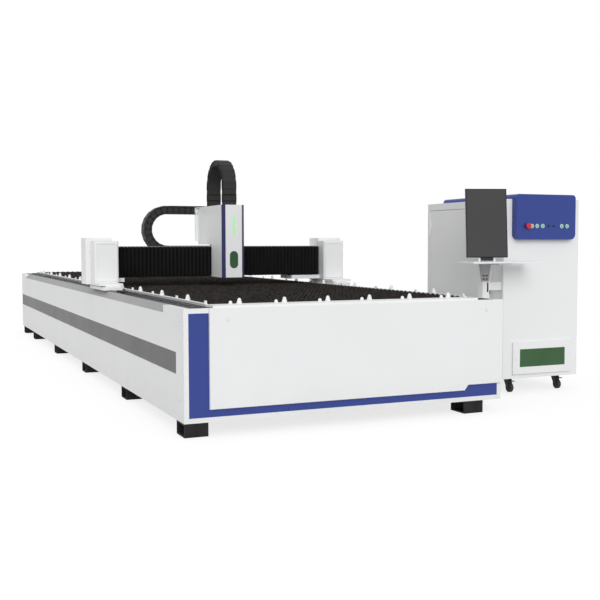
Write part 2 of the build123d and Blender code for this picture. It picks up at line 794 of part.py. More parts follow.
# Carriage: a saddle plate on four bearing blocks, with the rails of the head slide on its face
saddle_y = bed_front + saddle_front
saddle_back = saddle_y + saddle_plate
inner_half = carriage_width / 2 - carriage_sheet
x_drive_x = bed_mid + x_drive_offset
x_pinion_z = beam_top + x_rack + x_pinion_radius + running * 10
screw_place = (bed_mid, bed_front + screw_y)
with BuildPart() as carriage_saddle:
    block(bed_mid - inner_half, bed_mid + inner_half, saddle_y, saddle_back, saddle_bottom, saddle_top)
    block(bed_mid - z_motor / 2 - 5, bed_mid + z_motor / 2 + 5, screw_place[1] - z_motor / 2 - 5,
          saddle_back, saddle_top, saddle_top + z_shelf)
    for z in x_rail_heights:
        for x in (bed_mid - inner_half + 5, bed_mid + inner_half - 5 - x_block_length):
            block(x, x + x_block_length, saddle_back, beam_y - 4, z - x_rail_width, z + x_rail_width)
            block(x, x + x_block_length, beam_y - x_rail_depth - fit, beam_y - 4,
                  z - x_rail_width / 2 - fit, z + x_rail_width / 2 + fit, mode=Mode.SUBTRACT)
    for x in (bed_mid - z_rail_spread / 2, bed_mid + z_rail_spread / 2):
        block(x - z_rail_width / 2, x + z_rail_width / 2, saddle_y - z_rail_depth, saddle_y,
              saddle_bottom, z_rail_top)
    for z in (screw_bottom, z_rail_top + 60):
        block(bed_mid - 15, bed_mid + 15, screw_place[1] - 15, saddle_y, z, z + 18)
    with Locations((screw_place[0], screw_place[1], saddle_bottom)):
        Cylinder(screw_radius + running, 1200, mode=Mode.SUBTRACT)
    with Locations((x_drive_x, saddle_y + saddle_plate / 2, x_pinion_z)):
        Cylinder(12, saddle_plate, rotation=(90, 0, 0), mode=Mode.SUBTRACT)
save(carriage_saddle, "carriage_saddle")

# Carriage drive: a motor in front of the saddle, its pinion on the rack behind it
with BuildPart() as x_drive:
    block(x_drive_x - x_motor / 2, x_drive_x + x_motor / 2, saddle_y - x_motor, saddle_y,
          x_pinion_z - x_motor / 2, x_pinion_z + x_motor / 2)
    with BuildSketch(front_plane(beam_y + x_rack)):
        with Locations((x_drive_x, x_pinion_z)):
            Circle(x_pinion_radius)
    extrude(amount=x_rack)
    with BuildSketch(front_plane(beam_y)):
        with Locations((x_drive_x, x_pinion_z)):
            Circle(8)
    extrude(amount=beam_y - saddle_y)
save(x_drive, "x_drive")

# Head drive: a motor on the shelf of the saddle, and the screw it turns
with BuildPart() as z_drive:
    block(bed_mid - z_motor / 2, bed_mid + z_motor / 2, screw_place[1] - z_motor / 2,
          screw_place[1] + z_motor / 2, saddle_top + z_shelf, saddle_top + z_shelf + z_motor_height)
    with BuildSketch(Plane.XY.offset(saddle_top + z_shelf + z_motor_height)):
        with Locations(screw_place):
            Circle(z_motor * 0.4)
    extrude(amount=8)
save(z_drive, "z_drive")

with BuildPart() as z_screw:
    with BuildSketch(Plane.XY.offset(screw_bottom + fit)):
        with Locations(screw_place):
            Circle(screw_radius)
    extrude(amount=saddle_top + z_shelf - screw_bottom - 2 * fit)
    with BuildSketch(Plane.XY.offset(z_rail_top + 100)):
        with Locations(screw_place):
            RegularPolygon(15, 6)
    extrude(amount=40)
save(z_screw, "z_screw")

# Head plate: slides on the saddle's rails and is driven by the nut on its back
plate_y = bed_front + z_plate_back
block_z = z_plate_bottom + (z_plate_height - z_block_height) / 2
with BuildPart() as z_plate:
    block(bed_mid - z_plate_width / 2, bed_mid + z_plate_width / 2, plate_y - z_plate_thick, plate_y,
          z_plate_bottom, z_plate_bottom + z_plate_height)
    for x in (bed_mid - z_rail_spread / 2, bed_mid + z_rail_spread / 2):
        block(x - z_rail_width, x + z_rail_width, plate_y, saddle_y - 4, block_z, block_z + z_block_height)
        block(x - z_rail_width / 2 - fit, x + z_rail_width / 2 + fit, saddle_y - z_rail_depth - fit,
              saddle_y - 4, block_z, block_z + z_block_height, mode=Mode.SUBTRACT)
    block(bed_mid - 18, bed_mid + 18, plate_y, saddle_y - 6, z_plate_bottom + 40, z_plate_bottom + 80)
    with Locations((screw_place[0], screw_place[1], z_plate_bottom + 60)):
        Cylinder(screw_radius + running, 60, mode=Mode.SUBTRACT)
save(z_plate, "z_plate")

# Cutting head: a round body on an arm, a cone and a nozzle below, a seat for the cable chain above
head_place = (bed_mid, bed_front + head_y)
with BuildPart() as cutting_head:
    with BuildSketch(front_plane(head_place[1])):
        with BuildLine():
            Polyline((bed_mid, nozzle_tip + 18), (bed_mid + 9, nozzle_tip + 18), (bed_mid + 26, nozzle_tip + 48),
                     (bed_mid + 30, nozzle_tip + 56), (bed_mid + 30, nozzle_tip + 130),
                     (bed_mid + head_radius, nozzle_tip + 142), (bed_mid + head_radius, head_top - 12),
                     (bed_mid + head_radius - 8, head_top), (bed_mid, head_top), close=True)
        make_face()
    revolve(axis=Axis((bed_mid, head_place[1], 0), (0, 0, 1)))
    block(bed_mid - 30, bed_mid + 30, head_place[1], plate_y - z_plate_thick,
          z_plate_bottom + 20, z_plate_bottom + z_plate_height - 10)
    block(bed_mid - z_chain_shift - 40, bed_mid - z_chain_shift + 40, bed_front + z_front_leg - 20,
          head_place[1], head_top - 10, z_chain_foot - fit)
    with BuildSketch(Plane.XY.offset(nozzle_tip + 18)):
        with Locations(head_place):
            Circle(8)
    extrude(amount=-18, taper=16)
save(cutting_head, "cutting_head")

# Carriage cover: a folded shell with bevelled front corners and a deep upper part over the beam
cover_front = bed_front + carriage_front
lower_back = bed_front + bellows_front
cover_back = bed_front + carriage_rear


def cover_plan(inset, bevel, back):
    """The outline of the shell seen from above, drawn in by the inset."""
    half = carriage_width / 2 - inset
    return [(bed_mid - half, cover_front + bevel), (bed_mid - half + bevel - inset, cover_front + inset),
            (bed_mid + half - bevel + inset, cover_front + inset), (bed_mid + half, cover_front + bevel),
            (bed_mid + half, back), (bed_mid - half, back)]


with BuildPart() as carriage_cover:
    with BuildSketch(Plane.XY.offset(carriage_bottom)):
        Polygon(*cover_plan(0, corner_bevel, lower_back), align=None)
    extrude(amount=carriage_top - carriage_bottom)
    block(carriage_left, carriage_right, lower_back, cover_back, carriage_step, carriage_top)
    with BuildSketch(Plane.XY.offset(carriage_bottom)):
        Polygon(*cover_plan(carriage_sheet, corner_bevel, lower_back + 1), align=None)
    extrude(amount=carriage_top - carriage_sheet - carriage_bottom, mode=Mode.SUBTRACT)
    block(carriage_left + carriage_sheet, carriage_right - carriage_sheet, lower_back, cover_back - carriage_sheet,
          carriage_step + carriage_sheet, carriage_top - carriage_sheet, mode=Mode.SUBTRACT)
    block(carriage_left + carriage_sheet, carriage_right - carriage_sheet, lower_back, beam_y + 40,
          carriage_step, carriage_step + carriage_sheet, mode=Mode.SUBTRACT)
    with BuildSketch(front_plane(cover_front + carriage_sheet)):
        with Locations((bed_mid, window_bottom + window_height / 2)):
            SlotOverall(window_height - 10, window_width - 10, rotation=90)
    extrude(amount=carriage_sheet, mode=Mode.SUBTRACT)
    block(bed_mid - z_chain_shift - z_chain_width / 2 - 6, bed_mid - z_chain_shift + z_chain_width / 2 + 6,
          bed_front + z_front_leg - z_chain_depth / 2 - 6, bed_front + z_front_leg + z_chain_depth / 2 + 6,
          carriage_top - carriage_sheet, carriage_top, mode=Mode.SUBTRACT)
    arm_z = x_bend_z + x_bend - x_chain_height / 2
    block(carriage_left - 30, x_bend_x + x_high_run + 8, cover_back, cover_back + 10, arm_z - 8, carriage_top)
    block(carriage_left - 30, carriage_left, cover_back - 45, cover_back, carriage_top - 4, carriage_top)
    block(x_bend_x + x_high_run + fit, x_bend_x + x_high_run + 8, cover_back + 10,
          x_chain_y + x_chain_width, arm_z, arm_z + x_chain_height)
save(carriage_cover, "carriage_cover")

# Carriage front: blue strips on the bevels, a light strip and a tinted window
with BuildPart() as carriage_trim:
    for toward in (-1, 1):
        x = bed_mid + toward * carriage_width / 2
        with BuildSketch(Plane.XY.offset(carriage_bottom)):
            Polygon((x, cover_front + corner_bevel), (x - toward * corner_bevel, cover_front),
                    (x - toward * corner_bevel, cover_front - trim_sheet),
                    (x + toward * trim_sheet, cover_front + corner_bevel), align=None)
        extrude(amount=carriage_top - carriage_bottom)
save(carriage_trim, "carriage_trim")

with BuildPart() as led_strip:
    block(bed_mid - led_width / 2, bed_mid + led_width / 2, cover_front - 2, cover_front,
          led_bottom, led_bottom + led_height)
save(led_strip, "led_strip")

with BuildPart() as head_window:
    with BuildSketch(front_plane(cover_front)):
        with Locations((bed_mid, window_bottom + window_height / 2)):
            SlotOverall(window_height, window_width, rotation=90)
    extrude(amount=glass_depth)
save(head_window, "head_window")

# Head cable chain: an arch from the top of the carriage forwards and down to the head
groups = chain_links((0, 0), z_bend_z - carriage_top, z_bend, z_bend_z - z_chain_foot, z_pitch)
z_leg_y = bed_front + z_front_leg + 2 * z_bend
z_chain_x = bed_mid - z_chain_shift
with BuildPart() as z_chain:
    for size, places in groups.items():
        with BuildSketch(*[Plane(origin=(z_chain_x, z_leg_y - across, carriage_top + fit - along),
                                 x_dir=(0, -w, -u), z_dir=(1, 0, 0))
                           for (along, across), (u, w) in places]):
            Polygon(*link_profile(size, z_chain_depth, z_bend), align=None)
        extrude(amount=z_chain_width / 2, both=True)
save(z_chain, "z_chain")

# Cabinet: a closed box on a plate for each caster, open behind its door and its hatch
cabinet_y = bed_front + cabinet_front
cabinet_back = cabinet_y + cabinet_depth
door_y = (bed_front + door_front, bed_front + door_rear)
hatch_x = (cabinet_left + hatch_left, cabinet_left + hatch_left + hatch_width)
pane_x = (cabinet_left + pane_left, cabinet_left + pane_left + pane_width)
casters = [(cabinet_left + caster_x, cabinet_y + caster_y), (cabinet_right - caster_x, cabinet_y + caster_y),
           (cabinet_left + caster_x, cabinet_back - caster_y), (cabinet_right - caster_x, cabinet_back - caster_y)]
door_axis = (cabinet_left - barrel, door_y[1] + 1)
hatch_axis = (hatch_x[1] + barrel + 1, cabinet_y - barrel - 1)
with BuildPart() as cabinet_body:
    block(cabinet_left, cabinet_right, cabinet_y, cabinet_back, cabinet_bottom, cabinet_top)
    fillet(cabinet_body.edges().filter_by(Axis.Z), radius=cabinet_round)
    block(cabinet_left + cabinet_wall, cabinet_right - cabinet_wall, cabinet_y + cabinet_wall,
          cabinet_back - cabinet_wall, cabinet_bottom + cabinet_wall, cabinet_top - cabinet_wall,
          mode=Mode.SUBTRACT)
    block(cabinet_left, cabinet_left + cabinet_wall, door_y[0], door_y[1], door_bottom, door_top,
          mode=Mode.SUBTRACT)
    block(hatch_x[0] + 25, hatch_x[1] - 25, cabinet_y, cabinet_y + cabinet_wall, hatch_bottom + 25,
          hatch_bottom + hatch_height - 25, mode=Mode.SUBTRACT)
    for x, y in casters:
        block(x - 48, x + 48, y - 42, y + 42, cabinet_bottom - caster_plate, cabinet_bottom)
    with Locations(*[(x, y, cabinet_bottom) for x, y in casters]):
        Cylinder(swivel_pin + running, 4 * caster_plate, mode=Mode.SUBTRACT)
    for z in barrel_heights:
        for low, high in ((z - barrel_length, z - fit), (z + barrel_length + fit, z + 2 * barrel_length)):
            with BuildSketch(Plane.XY.offset(low)):
                with Locations(door_axis):
                    Circle(barrel)
                with Locations((door_axis[0] + barrel / 2, door_axis[1] + barrel)):
                    Rectangle(barrel, 2 * barrel)
            extrude(amount=high - low)
        with BuildSketch(Plane.XY.offset(z - barrel_length / 2)):
            with Locations(door_axis):
                Circle(barrel_pin)
        extrude(amount=2 * barrel_length)
    for z in (hatch_bottom + 20, hatch_bottom + hatch_height - 60):
        with BuildSketch(Plane.XY.offset(z)):
            with Locations(hatch_axis):
                Circle(barrel)
            with Locations((hatch_axis[0], hatch_axis[1] + barrel / 2 + 1)):
                Rectangle(2 * barrel, barrel + 2)
        extrude(amount=40)
    with BuildSketch(Plane.XY.offset(hatch_bottom + 20)):
        with Locations(hatch_axis):
            Circle(barrel_pin)
    extrude(amount=hatch_height - 40)
save(cabinet_body, "cabinet_body")

with BuildPart() as cabinet_door:
    block(cabinet_left, cabinet_left + door_sheet, door_y[0] + door_gap, door_y[1] - door_gap,
          door_bottom + door_gap, door_top - door_gap)
    for z in barrel_heights:
        with BuildSketch(Plane.XY.offset(z)):
            with Locations(door_axis):
                Circle(barrel)
            with Locations((door_axis[0] + barrel / 2, door_axis[1] - barrel)):
                Rectangle(barrel, 2 * barrel)
        extrude(amount=barrel_length)
        with Locations((door_axis[0], door_axis[1], z + barrel_length / 2)):
            Cylinder(barrel_pin + running, 2 * barrel_length, mode=Mode.SUBTRACT)
    with Locations((cabinet_left + door_sheet / 2, bed_front + handle_y, handle_z)):
        Cylinder(handle_stem + running, door_sheet, rotation=(0, 90, 0), mode=Mode.SUBTRACT)
save(cabinet_door, "cabinet_door")

with BuildPart() as door_handle:
    with BuildSketch(side_plane(cabinet_left - fit)):
        with Locations((bed_front + handle_y, handle_z - handle_length / 2 + handle_width / 2)):
            SlotOverall(handle_length, handle_width, rotation=90)
    extrude(amount=-14)
    chamfer(door_handle.faces().sort_by(Axis.X)[0].edges(), length=3)
    with BuildSketch(side_plane(cabinet_left - fit)):
        with Locations((bed_front + handle_y, handle_z)):
            Circle(handle_stem)
    extrude(amount=door_sheet + 10)
    block(cabinet_left + door_sheet + 4, cabinet_left + door_sheet + 10, bed_front + handle_y - 30,
          bed_front + handle_y + 8, handle_z - 8, handle_z + 8)
save(door_handle, "door_handle")

# Hatch in the front of the cabinet, with a window pane in its frame
with BuildPart() as hatch:
    hatch_face = cabinet_y - hatch_seat
    block(hatch_x[0], hatch_x[1], hatch_face - hatch_sheet, hatch_face, hatch_bottom,
          hatch_bottom + hatch_height)
    fillet(hatch.edges().filter_by(Axis.Y), radius=4)
    block(pane_x[0] + 6, pane_x[1] - 6, hatch_face - hatch_sheet, hatch_face, pane_bottom + 6,
          pane_bottom + pane_height - 6, mode=Mode.SUBTRACT)
    block(pane_x[0], pane_x[1], hatch_face - hatch_sheet, hatch_face - hatch_sheet + pane_sheet,
          pane_bottom, pane_bottom + pane_height, mode=Mode.SUBTRACT)
    with BuildSketch(Plane.XY.offset(hatch_bottom + 60 + fit)):
        with Locations(hatch_axis):
            Circle(barrel)
        with Locations((hatch_axis[0] - barrel, hatch_axis[1])):
            Rectangle(2 * barrel, barrel)
    extrude(amount=hatch_height - 120 - 2 * fit)
    with Locations((hatch_axis[0], hatch_axis[1], hatch_bottom + hatch_height / 2)):
        Cylinder(barrel_pin + running, hatch_height, mode=Mode.SUBTRACT)
    with BuildSketch(front_plane(hatch_face - hatch_sheet)):
        with Locations((cabinet_left + 121, hatch_bottom + hatch_height / 2)):
            Circle(13)
    extrude(amount=4)
save(hatch, "hatch")

with BuildPart() as hatch_window:
    block(pane_x[0] + fit, pane_x[1] - fit, hatch_face - hatch_sheet + 1, hatch_face - hatch_sheet + pane_sheet,
          pane_bottom + fit, pane_bottom + pane_height - fit)
save(hatch_window, "hatch_window")

# Console: a rounded blue housing proud of the cabinet's front, continued as a slab over its top
console_x = (cabinet_left + console_left, cabinet_left + console_left + console_width)
console_y = cabinet_y - console_proud
control_x = [cabinet_left + place for place in button_places]
with BuildPart() as console_housing:
    block(*console_x, console_y, console_y + console_length, cabinet_top, console_top)
    block(*console_x, console_y, cabinet_y, console_bottom, cabinet_top)
    fillet(console_housing.edges().filter_by(Axis.Y).group_by(Axis.Z)[-1], radius=slab_round)
    fillet(console_housing.edges().filter_by(Axis.Y).group_by(Axis.Z)[0], radius=console_round)
    chamfer(console_housing.faces().sort_by(Axis.Y)[0].edges(), length=3)
    with BuildSketch(front_plane(console_y)):
        with Locations(*[(x, button_z) for x in control_x[1:]]):
            Circle(button_radius + bezel)
        with Locations((control_x[0], button_z)):
            Circle(stop_stem + bezel + 2)
        with Locations((cabinet_left + 376, button_z), (cabinet_left + 426, button_z)):
            Circle(8)
    extrude(amount=bezel_proud)
    with Locations(*[(x, console_y, button_z) for x in control_x[1:]]):
        Cylinder(button_radius + fit, 2 * button_well, rotation=(90, 0, 0), mode=Mode.SUBTRACT)
    with Locations((control_x[0], console_y, button_z)):
        Cylinder(stop_stem + fit, 2 * button_well, rotation=(90, 0, 0), mode=Mode.SUBTRACT)
save(console_housing, "console_housing")

with BuildPart() as stop_button:
    with BuildSketch(front_plane(console_y + button_depth)):
        with Locations((control_x[0], button_z)):
            Circle(stop_stem)
    extrude(amount=button_depth + stop_proud - stop_head)
    with BuildSketch(front_plane(console_y - stop_proud + stop_head)):
        with Locations((control_x[0], button_z)):
            Circle(stop_radius)
    extrude(amount=stop_head)
    chamfer(stop_button.faces().sort_by(Axis.Y)[0].edges(), length=5)
save(stop_button, button_names[0])

for name, x in zip(button_names[1:], control_x[1:]):
    with BuildPart() as button:
        with BuildSketch(front_plane(console_y + button_depth)):
            with Locations((x, button_z)):
                Circle(button_radius)
        extrude(amount=button_depth + button_proud)
        chamfer(button.faces().sort_by(Axis.Y)[0].edges(), length=1.5)
    save(button, name)

# Inside the cabinet: the laser source on the floor and a rack of drives on the far wall
with BuildPart() as laser_source:
    block(cabinet_left + 90, cabinet_left + 620, cabinet_y + 330, cabinet_back - 60,
          cabinet_bottom + cabinet_wall, cabinet_bottom + cabinet_wall + 420)
    block(cabinet_left + 130, cabinet_left + 580, cabinet_y + 318, cabinet_y + 330,
          cabinet_bottom + cabinet_wall + 60, cabinet_bottom + cabinet_wall + 360)
save(laser_source, "laser_source")

with BuildPart() as drive_rack:
    rack_wall = cabinet_right - cabinet_wall
    block(rack_wall - 6, rack_wall, cabinet_y + 200, cabinet_back - 100, 640, 1400)
    for row in range(2):
        for n in range(6):
            y = cabinet_y + 225 + n * 128
            block(rack_wall - 6 - 150, rack_wall - 6, y, y + 100, 680 + row * 370, 980 + row * 370)
save(drive_rack, "drive_rack")

# Casters: each fork swivels on a pin and holds its wheel on an axle
fork_half = wheel_width / 2 + 2
for number, (x, y) in enumerate(casters, start=1):
    wheel_y = y - caster_trail
    with BuildPart() as fork:
        with BuildSketch(Plane.XY.offset(fork_top - fork_sheet)):
            with Locations((x, y)):
                Rectangle(2 * (fork_half + fork_sheet), 56)
        extrude(amount=fork_sheet)
        with BuildSketch(Plane.XY.offset(fork_top)):
            with Locations((x, y)):
                Circle(swivel_pin)
        extrude(amount=caster_plate)
        with BuildSketch(side_plane(x - fork_half - fork_sheet), side_plane(x + fork_half)):
            Polygon((y - 28, fork_top - fork_sheet), (y + 28, fork_top - fork_sheet),
                    (wheel_y + 14, wheel_radius - 10), (wheel_y - 12, wheel_radius - 10), align=None)
        extrude(amount=fork_sheet)
        with BuildSketch(side_plane(x - fork_half - fork_sheet)):
            with Locations((wheel_y, wheel_radius)):
                Circle(axle_radius)
        extrude(amount=2 * (fork_half + fork_sheet))
        block(x - 12, x + 12, wheel_y - wheel_radius - 14, y - 28, fork_top - 20, fork_top - 16)
        block(x - 12, x + 12, y - 28, y - 24, fork_top - 20, fork_top - fork_sheet)
    save(fork, f"caster_fork_{number}")
    with BuildPart() as wheel:
        with BuildSketch(side_plane(x - wheel_width / 2)):
            with Locations((wheel_y, wheel_radius)):
                Circle(wheel_radius)
                Circle(axle_radius + running, mode=Mode.SUBTRACT)
        extrude(amount=wheel_width)
        chamfer(wheel.edges().group_by(SortBy.LENGTH)[-1], length=3)
    save(wheel, f"caster_wheel_{number}")

# Stand for the monitor: a square post held off the cabinet's side, a tapered bracket and an arm
stand_left = cabinet_left - stand_from_cabinet
stand_front = bed_front + stand_y
with BuildPart() as monitor_bracket:
    block(stand_left, stand_left + stand_side, stand_front, stand_front + stand_side, stand_bottom, stand_top)
    for z in stand_off_heights:
        block(stand_left + stand_side, cabinet_left, stand_front + 15, stand_front + 45, z, z + 60)
    with BuildSketch(front_plane(stand_front)):
        with Locations((stand_left + stand_side / 2, (stand_top + taper_top) / 2)):
            Trapezoid(taper_width, taper_top - stand_top, 78, rotation=180)
    extrude(amount=-8)
    block(stand_left + 4, stand_left + stand_side - 4, stand_front + 8, stand_front + stand_side,
          stand_top, taper_top)
    block(stand_left + stand_side / 2 - taper_width / 2, stand_left + stand_side / 2 + taper_width / 2,
          bed_front + shelf_front + 45, stand_front + stand_side, taper_top, shelf_z)
save(monitor_bracket, "monitor_bracket")

# Shelf, with the ears and the pin of the monitor's tilting hinge
turn = monitor_turn * pi / 180
tilt = monitor_tilt * pi / 180
hinge_place = (cabinet_left - monitor_from_cabinet, bed_front + monitor_y, hinge_z)
upright = Plane(origin=hinge_place, x_dir=(cos(turn), -sin(turn), 0), z_dir=(0, 0, 1))
leaning = Plane(origin=hinge_place, x_dir=(cos(turn), -sin(turn), 0),
                z_dir=(sin(tilt) * sin(turn), sin(tilt) * cos(turn), cos(tilt)))
shelf_top = shelf_z + shelf_thick
with BuildPart() as keyboard_shelf:
    block(cabinet_left - shelf_from_cabinet, cabinet_left - shelf_from_cabinet + shelf_length, bed_front + shelf_front,
          bed_front + shelf_front + shelf_depth, shelf_z, shelf_top)
    fillet(keyboard_shelf.edges().filter_by(Axis.Z), radius=10)
    for side in (-1, 1):
        middle = upright.from_local_coords((side * ear_spread, 0, (shelf_top - hinge_z + 8) / 2))
        with Locations(Location(middle, (0, 0, -monitor_turn))):
            Box(ear_width, 18, hinge_z + 8 - shelf_top)
    with BuildSketch(Plane(origin=hinge_place, x_dir=(0, 0, 1), z_dir=upright.x_dir)):
        Circle(hinge_pin)
    extrude(amount=ear_spread, both=True)
save(keyboard_shelf, "keyboard_shelf")

with BuildPart(leaning) as monitor:
    with Locations((0, 0, hinge_drop + monitor_height / 2)):
        Box(monitor_width, monitor_thick, monitor_height)
    fillet(monitor.edges().filter_by(Axis(leaning.origin, leaning.y_dir)), radius=6)
    with Locations((0, 0, hinge_drop / 2)):
        Box(2 * ear_spread - ear_width - 8, 16, hinge_drop + 16)
    with Locations(Location((0, 0, 0), (0, 90, 0))):
        Cylinder(hinge_pin + running, 4 * ear_spread, mode=Mode.SUBTRACT)
save(monitor, "monitor")
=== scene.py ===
from math import cos, pi, radians, sin

import bmesh
import bpy
from mathutils import Matrix, Vector


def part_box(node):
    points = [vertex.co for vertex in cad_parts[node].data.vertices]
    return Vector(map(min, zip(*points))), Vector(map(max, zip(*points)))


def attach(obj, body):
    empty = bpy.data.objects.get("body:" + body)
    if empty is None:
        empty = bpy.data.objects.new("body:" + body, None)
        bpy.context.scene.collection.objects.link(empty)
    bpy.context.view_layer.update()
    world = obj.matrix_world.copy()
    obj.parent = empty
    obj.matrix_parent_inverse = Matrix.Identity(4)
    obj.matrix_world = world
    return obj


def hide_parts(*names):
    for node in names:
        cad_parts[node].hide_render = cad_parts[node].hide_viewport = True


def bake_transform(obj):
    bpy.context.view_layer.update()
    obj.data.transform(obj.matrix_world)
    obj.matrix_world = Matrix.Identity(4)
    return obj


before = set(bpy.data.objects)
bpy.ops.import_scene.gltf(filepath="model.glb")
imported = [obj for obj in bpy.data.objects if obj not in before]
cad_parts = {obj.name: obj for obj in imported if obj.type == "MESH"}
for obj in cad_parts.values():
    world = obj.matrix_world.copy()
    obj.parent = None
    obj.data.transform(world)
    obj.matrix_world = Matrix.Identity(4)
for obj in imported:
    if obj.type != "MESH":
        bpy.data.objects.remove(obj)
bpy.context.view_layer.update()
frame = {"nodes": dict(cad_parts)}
nodes = frame["nodes"]

# Places on the machine, in metres, in the frame of the CAD model
BED_LEFT, BED_RIGHT, BED_FRONT = -1.6615, 0.5985, -3.738
BED_MID = (BED_LEFT + BED_RIGHT) / 2
CABINET_LEFT, CABINET_FRONT = 1.0185, -3.178

# Camera: the photograph's place, height and angle
CAMERA_PLACE = (-3.2205, -9.036, 1.155)
CAMERA_DIP, CAMERA_ROLL, CAMERA_TURN = 3.46, 0.12, -23.57
camera_data = bpy.data.cameras.new("camera")
camera_data.lens = 55.88
camera_data.sensor_width = 36
camera_data.clip_end = 200
camera = bpy.data.objects.new("camera", camera_data)
bpy.context.scene.collection.objects.link(camera)
camera.location = CAMERA_PLACE
camera.rotation_euler = (radians(90 - CAMERA_DIP), radians(CAMERA_ROLL), radians(CAMERA_TURN))
bpy.context.scene.camera = camera
bpy.context.scene.view_settings.view_transform = "Standard"


class Value:
    """A shader socket that takes part in arithmetic."""

    def __init__(self, nodes, socket):
        self.nodes = nodes
        self.socket = socket

    def maths(self, operation, first, second):
        node = self.nodes.node("ShaderNodeMath", {"operation": operation}, {0: first, 1: second})
        return Value(self.nodes, node.outputs[0])

    def __add__(self, other):
        return self.maths("ADD", self, other)

    def __radd__(self, other):
        return self.maths("ADD", other, self)

    def __mul__(self, other):
        return self.maths("MULTIPLY", self, other)

    def __rmul__(self, other):
        return self.maths("MULTIPLY", other, self)

    def __gt__(self, other):
        return self.maths("GREATER_THAN", self, other)

    def __lt__(self, other):
        return self.maths("LESS_THAN", self, other)


class Nodes:
    """A node tree, with one way to add a node to it."""

    def __init__(self, tree):
        self.tree = tree

    def node(self, kind, settings, sockets):
        node = self.tree.nodes.new(kind)
        for key, value in settings.items():
            setattr(node, key, value)
        for key, value in sockets.items():
            self.plug(node.inputs[key], value)
        return node

    def plug(self, socket, value):
        if isinstance(value, Value):
            value = value.socket
        if isinstance(value, bpy.types.NodeSocket):
            self.tree.links.new(value, socket)
        elif isinstance(value, (tuple, list)) and len(value) == 3 and socket.type == "RGBA":
            socket.default_value = (*value, 1.0)
        else:
            socket.default_value = value

    def seen_by(self, first, second):
        """One where the ray is of either kind, and nought elsewhere."""
        rays = self.node("ShaderNodeLightPath", {}, {})
        first, second = (Value(self, rays.outputs[f"Is {kind} Ray"]) for kind in (first, second))
        return first.maths("MAXIMUM", first, second)


class Finish(Nodes):
    """A material under construction, with its Principled shader at hand."""

    def __init__(self, name, roughness=0.5, metallic=0.0, **constants):
        self.material = bpy.data.materials.new(name)
        self.material.use_nodes = True
        super().__init__(self.material.node_tree)
        self.shader = self.tree.nodes["Principled BSDF"]
        self.shader.inputs["Roughness"].default_value = roughness
        self.shader.inputs["Metallic"].default_value = metallic
        for key, value in constants.items():
            self.shader.inputs[key.replace("_", " ")].default_value = value
        self.place = self.node("ShaderNodeTexCoord", {}, {}).outputs["Object"]

    def noise(self, scale, detail=3.0, stretch=(1, 1, 1), rough=0.5):
        spot = self.place
        if stretch != (1, 1, 1):
            spot = self.node("ShaderNodeMapping", {}, {"Vector": spot, "Scale": stretch}).outputs[0]
        node = self.node("ShaderNodeTexNoise", {}, {"Vector": spot, "Scale": scale, "Detail": detail,
                                                    "Roughness": rough})
        return Value(self, node.outputs["Fac"])

    def axes(self):
        node = self.node("ShaderNodeSeparateXYZ", {}, {0: self.place})
        return [Value(self, node.outputs[n]) for n in range(3)]

    def ramp(self, value, low, high):
        node = self.node("ShaderNodeMapRange", {"clamp": True},
                         {"Value": value, "From Min": low, "From Max": high})
        return Value(self, node.outputs[0])

    def mix(self, amount, first, second):
        node = self.node("ShaderNodeMix", {"data_type": "RGBA"}, {0: amount, 6: first, 7: second})
        return node.outputs[2]

    def dusted(self, tone, height, top, foot, amount):
        """Lays patchy dust over a tone, growing from the height top down to the height foot."""
        film = self.ramp(height, top, foot) * self.ramp(self.noise(DUST_PATCHES, 5.0), 0.3, 0.75) * amount
        return self.mix(film, tone, DUST)

    def bump(self, height, distance, strength=1.0):
        node = self.node("ShaderNodeBump", {}, {"Height": height, "Distance": distance, "Strength": strength})
        self.plug(self.shader.inputs["Normal"], node.outputs[0])

    def colour(self, value):
        self.plug(self.shader.inputs["Base Color"], value)

    def rough(self, value):
        self.plug(self.shader.inputs["Roughness"], value)


def shade(colour, factor):
    return tuple(min(1.0, c * factor) for c in colour)


# Grain of the powder coat and of the dust on it, as noise scales per metre
SLOW_CLOUD, ORANGE_PEEL, SHEEN_CLOUD, DUST_PATCHES = 1.7, 420.0, 3.1, 9.0
PEEL_DEPTH, PEEL_STRENGTH = 0.00012, 0.35
DUST = (0.36, 0.34, 0.31)


def painted(name, colour, roughness=0.36, dust=0.0, gloss=0.4):
    """Powder coat: a faint orange peel, slow changes of tone, and dust near the floor."""
    finish = Finish(name, roughness, Specular_IOR_Level=gloss)
    cloud = finish.noise(SLOW_CLOUD, 2.0)
    speck = finish.noise(ORANGE_PEEL, 1.0)
    tone = finish.mix(cloud, shade(colour, 0.965), shade(colour, 1.02))
    tone = finish.mix(finish.ramp(speck, 0.62, 0.8) * 0.12, tone, shade(colour, 0.9))
    if dust:
        tone = finish.dusted(tone, finish.axes()[2], 0.32, 0.05, dust)
    finish.colour(tone)
    finish.rough(finish.noise(SHEEN_CLOUD, 3.0) * 0.14 + (roughness - 0.07))
    finish.bump(speck, PEEL_DEPTH, PEEL_STRENGTH)
    return finish


def metal(name, colour, roughness=0.3, stretch=(1, 60, 60), dirt=0.2):
    """Ground or drawn metal: fine lines along one direction and darker handling marks."""
    finish = Finish(name, roughness, 0.9)
    lines = finish.noise(40.0, 3.0, stretch)
    marks = finish.noise(6.0, 5.0)
    tone = finish.mix(lines, shade(colour, 0.84), shade(colour, 1.06))
    finish.colour(finish.mix(finish.ramp(marks, 0.5, 0.8) * dirt, tone, shade(colour, 0.45)))
    finish.rough(lines * 0.2 + (roughness - 0.08))
    finish.bump(lines, 0.00008, 0.4)
    return finish


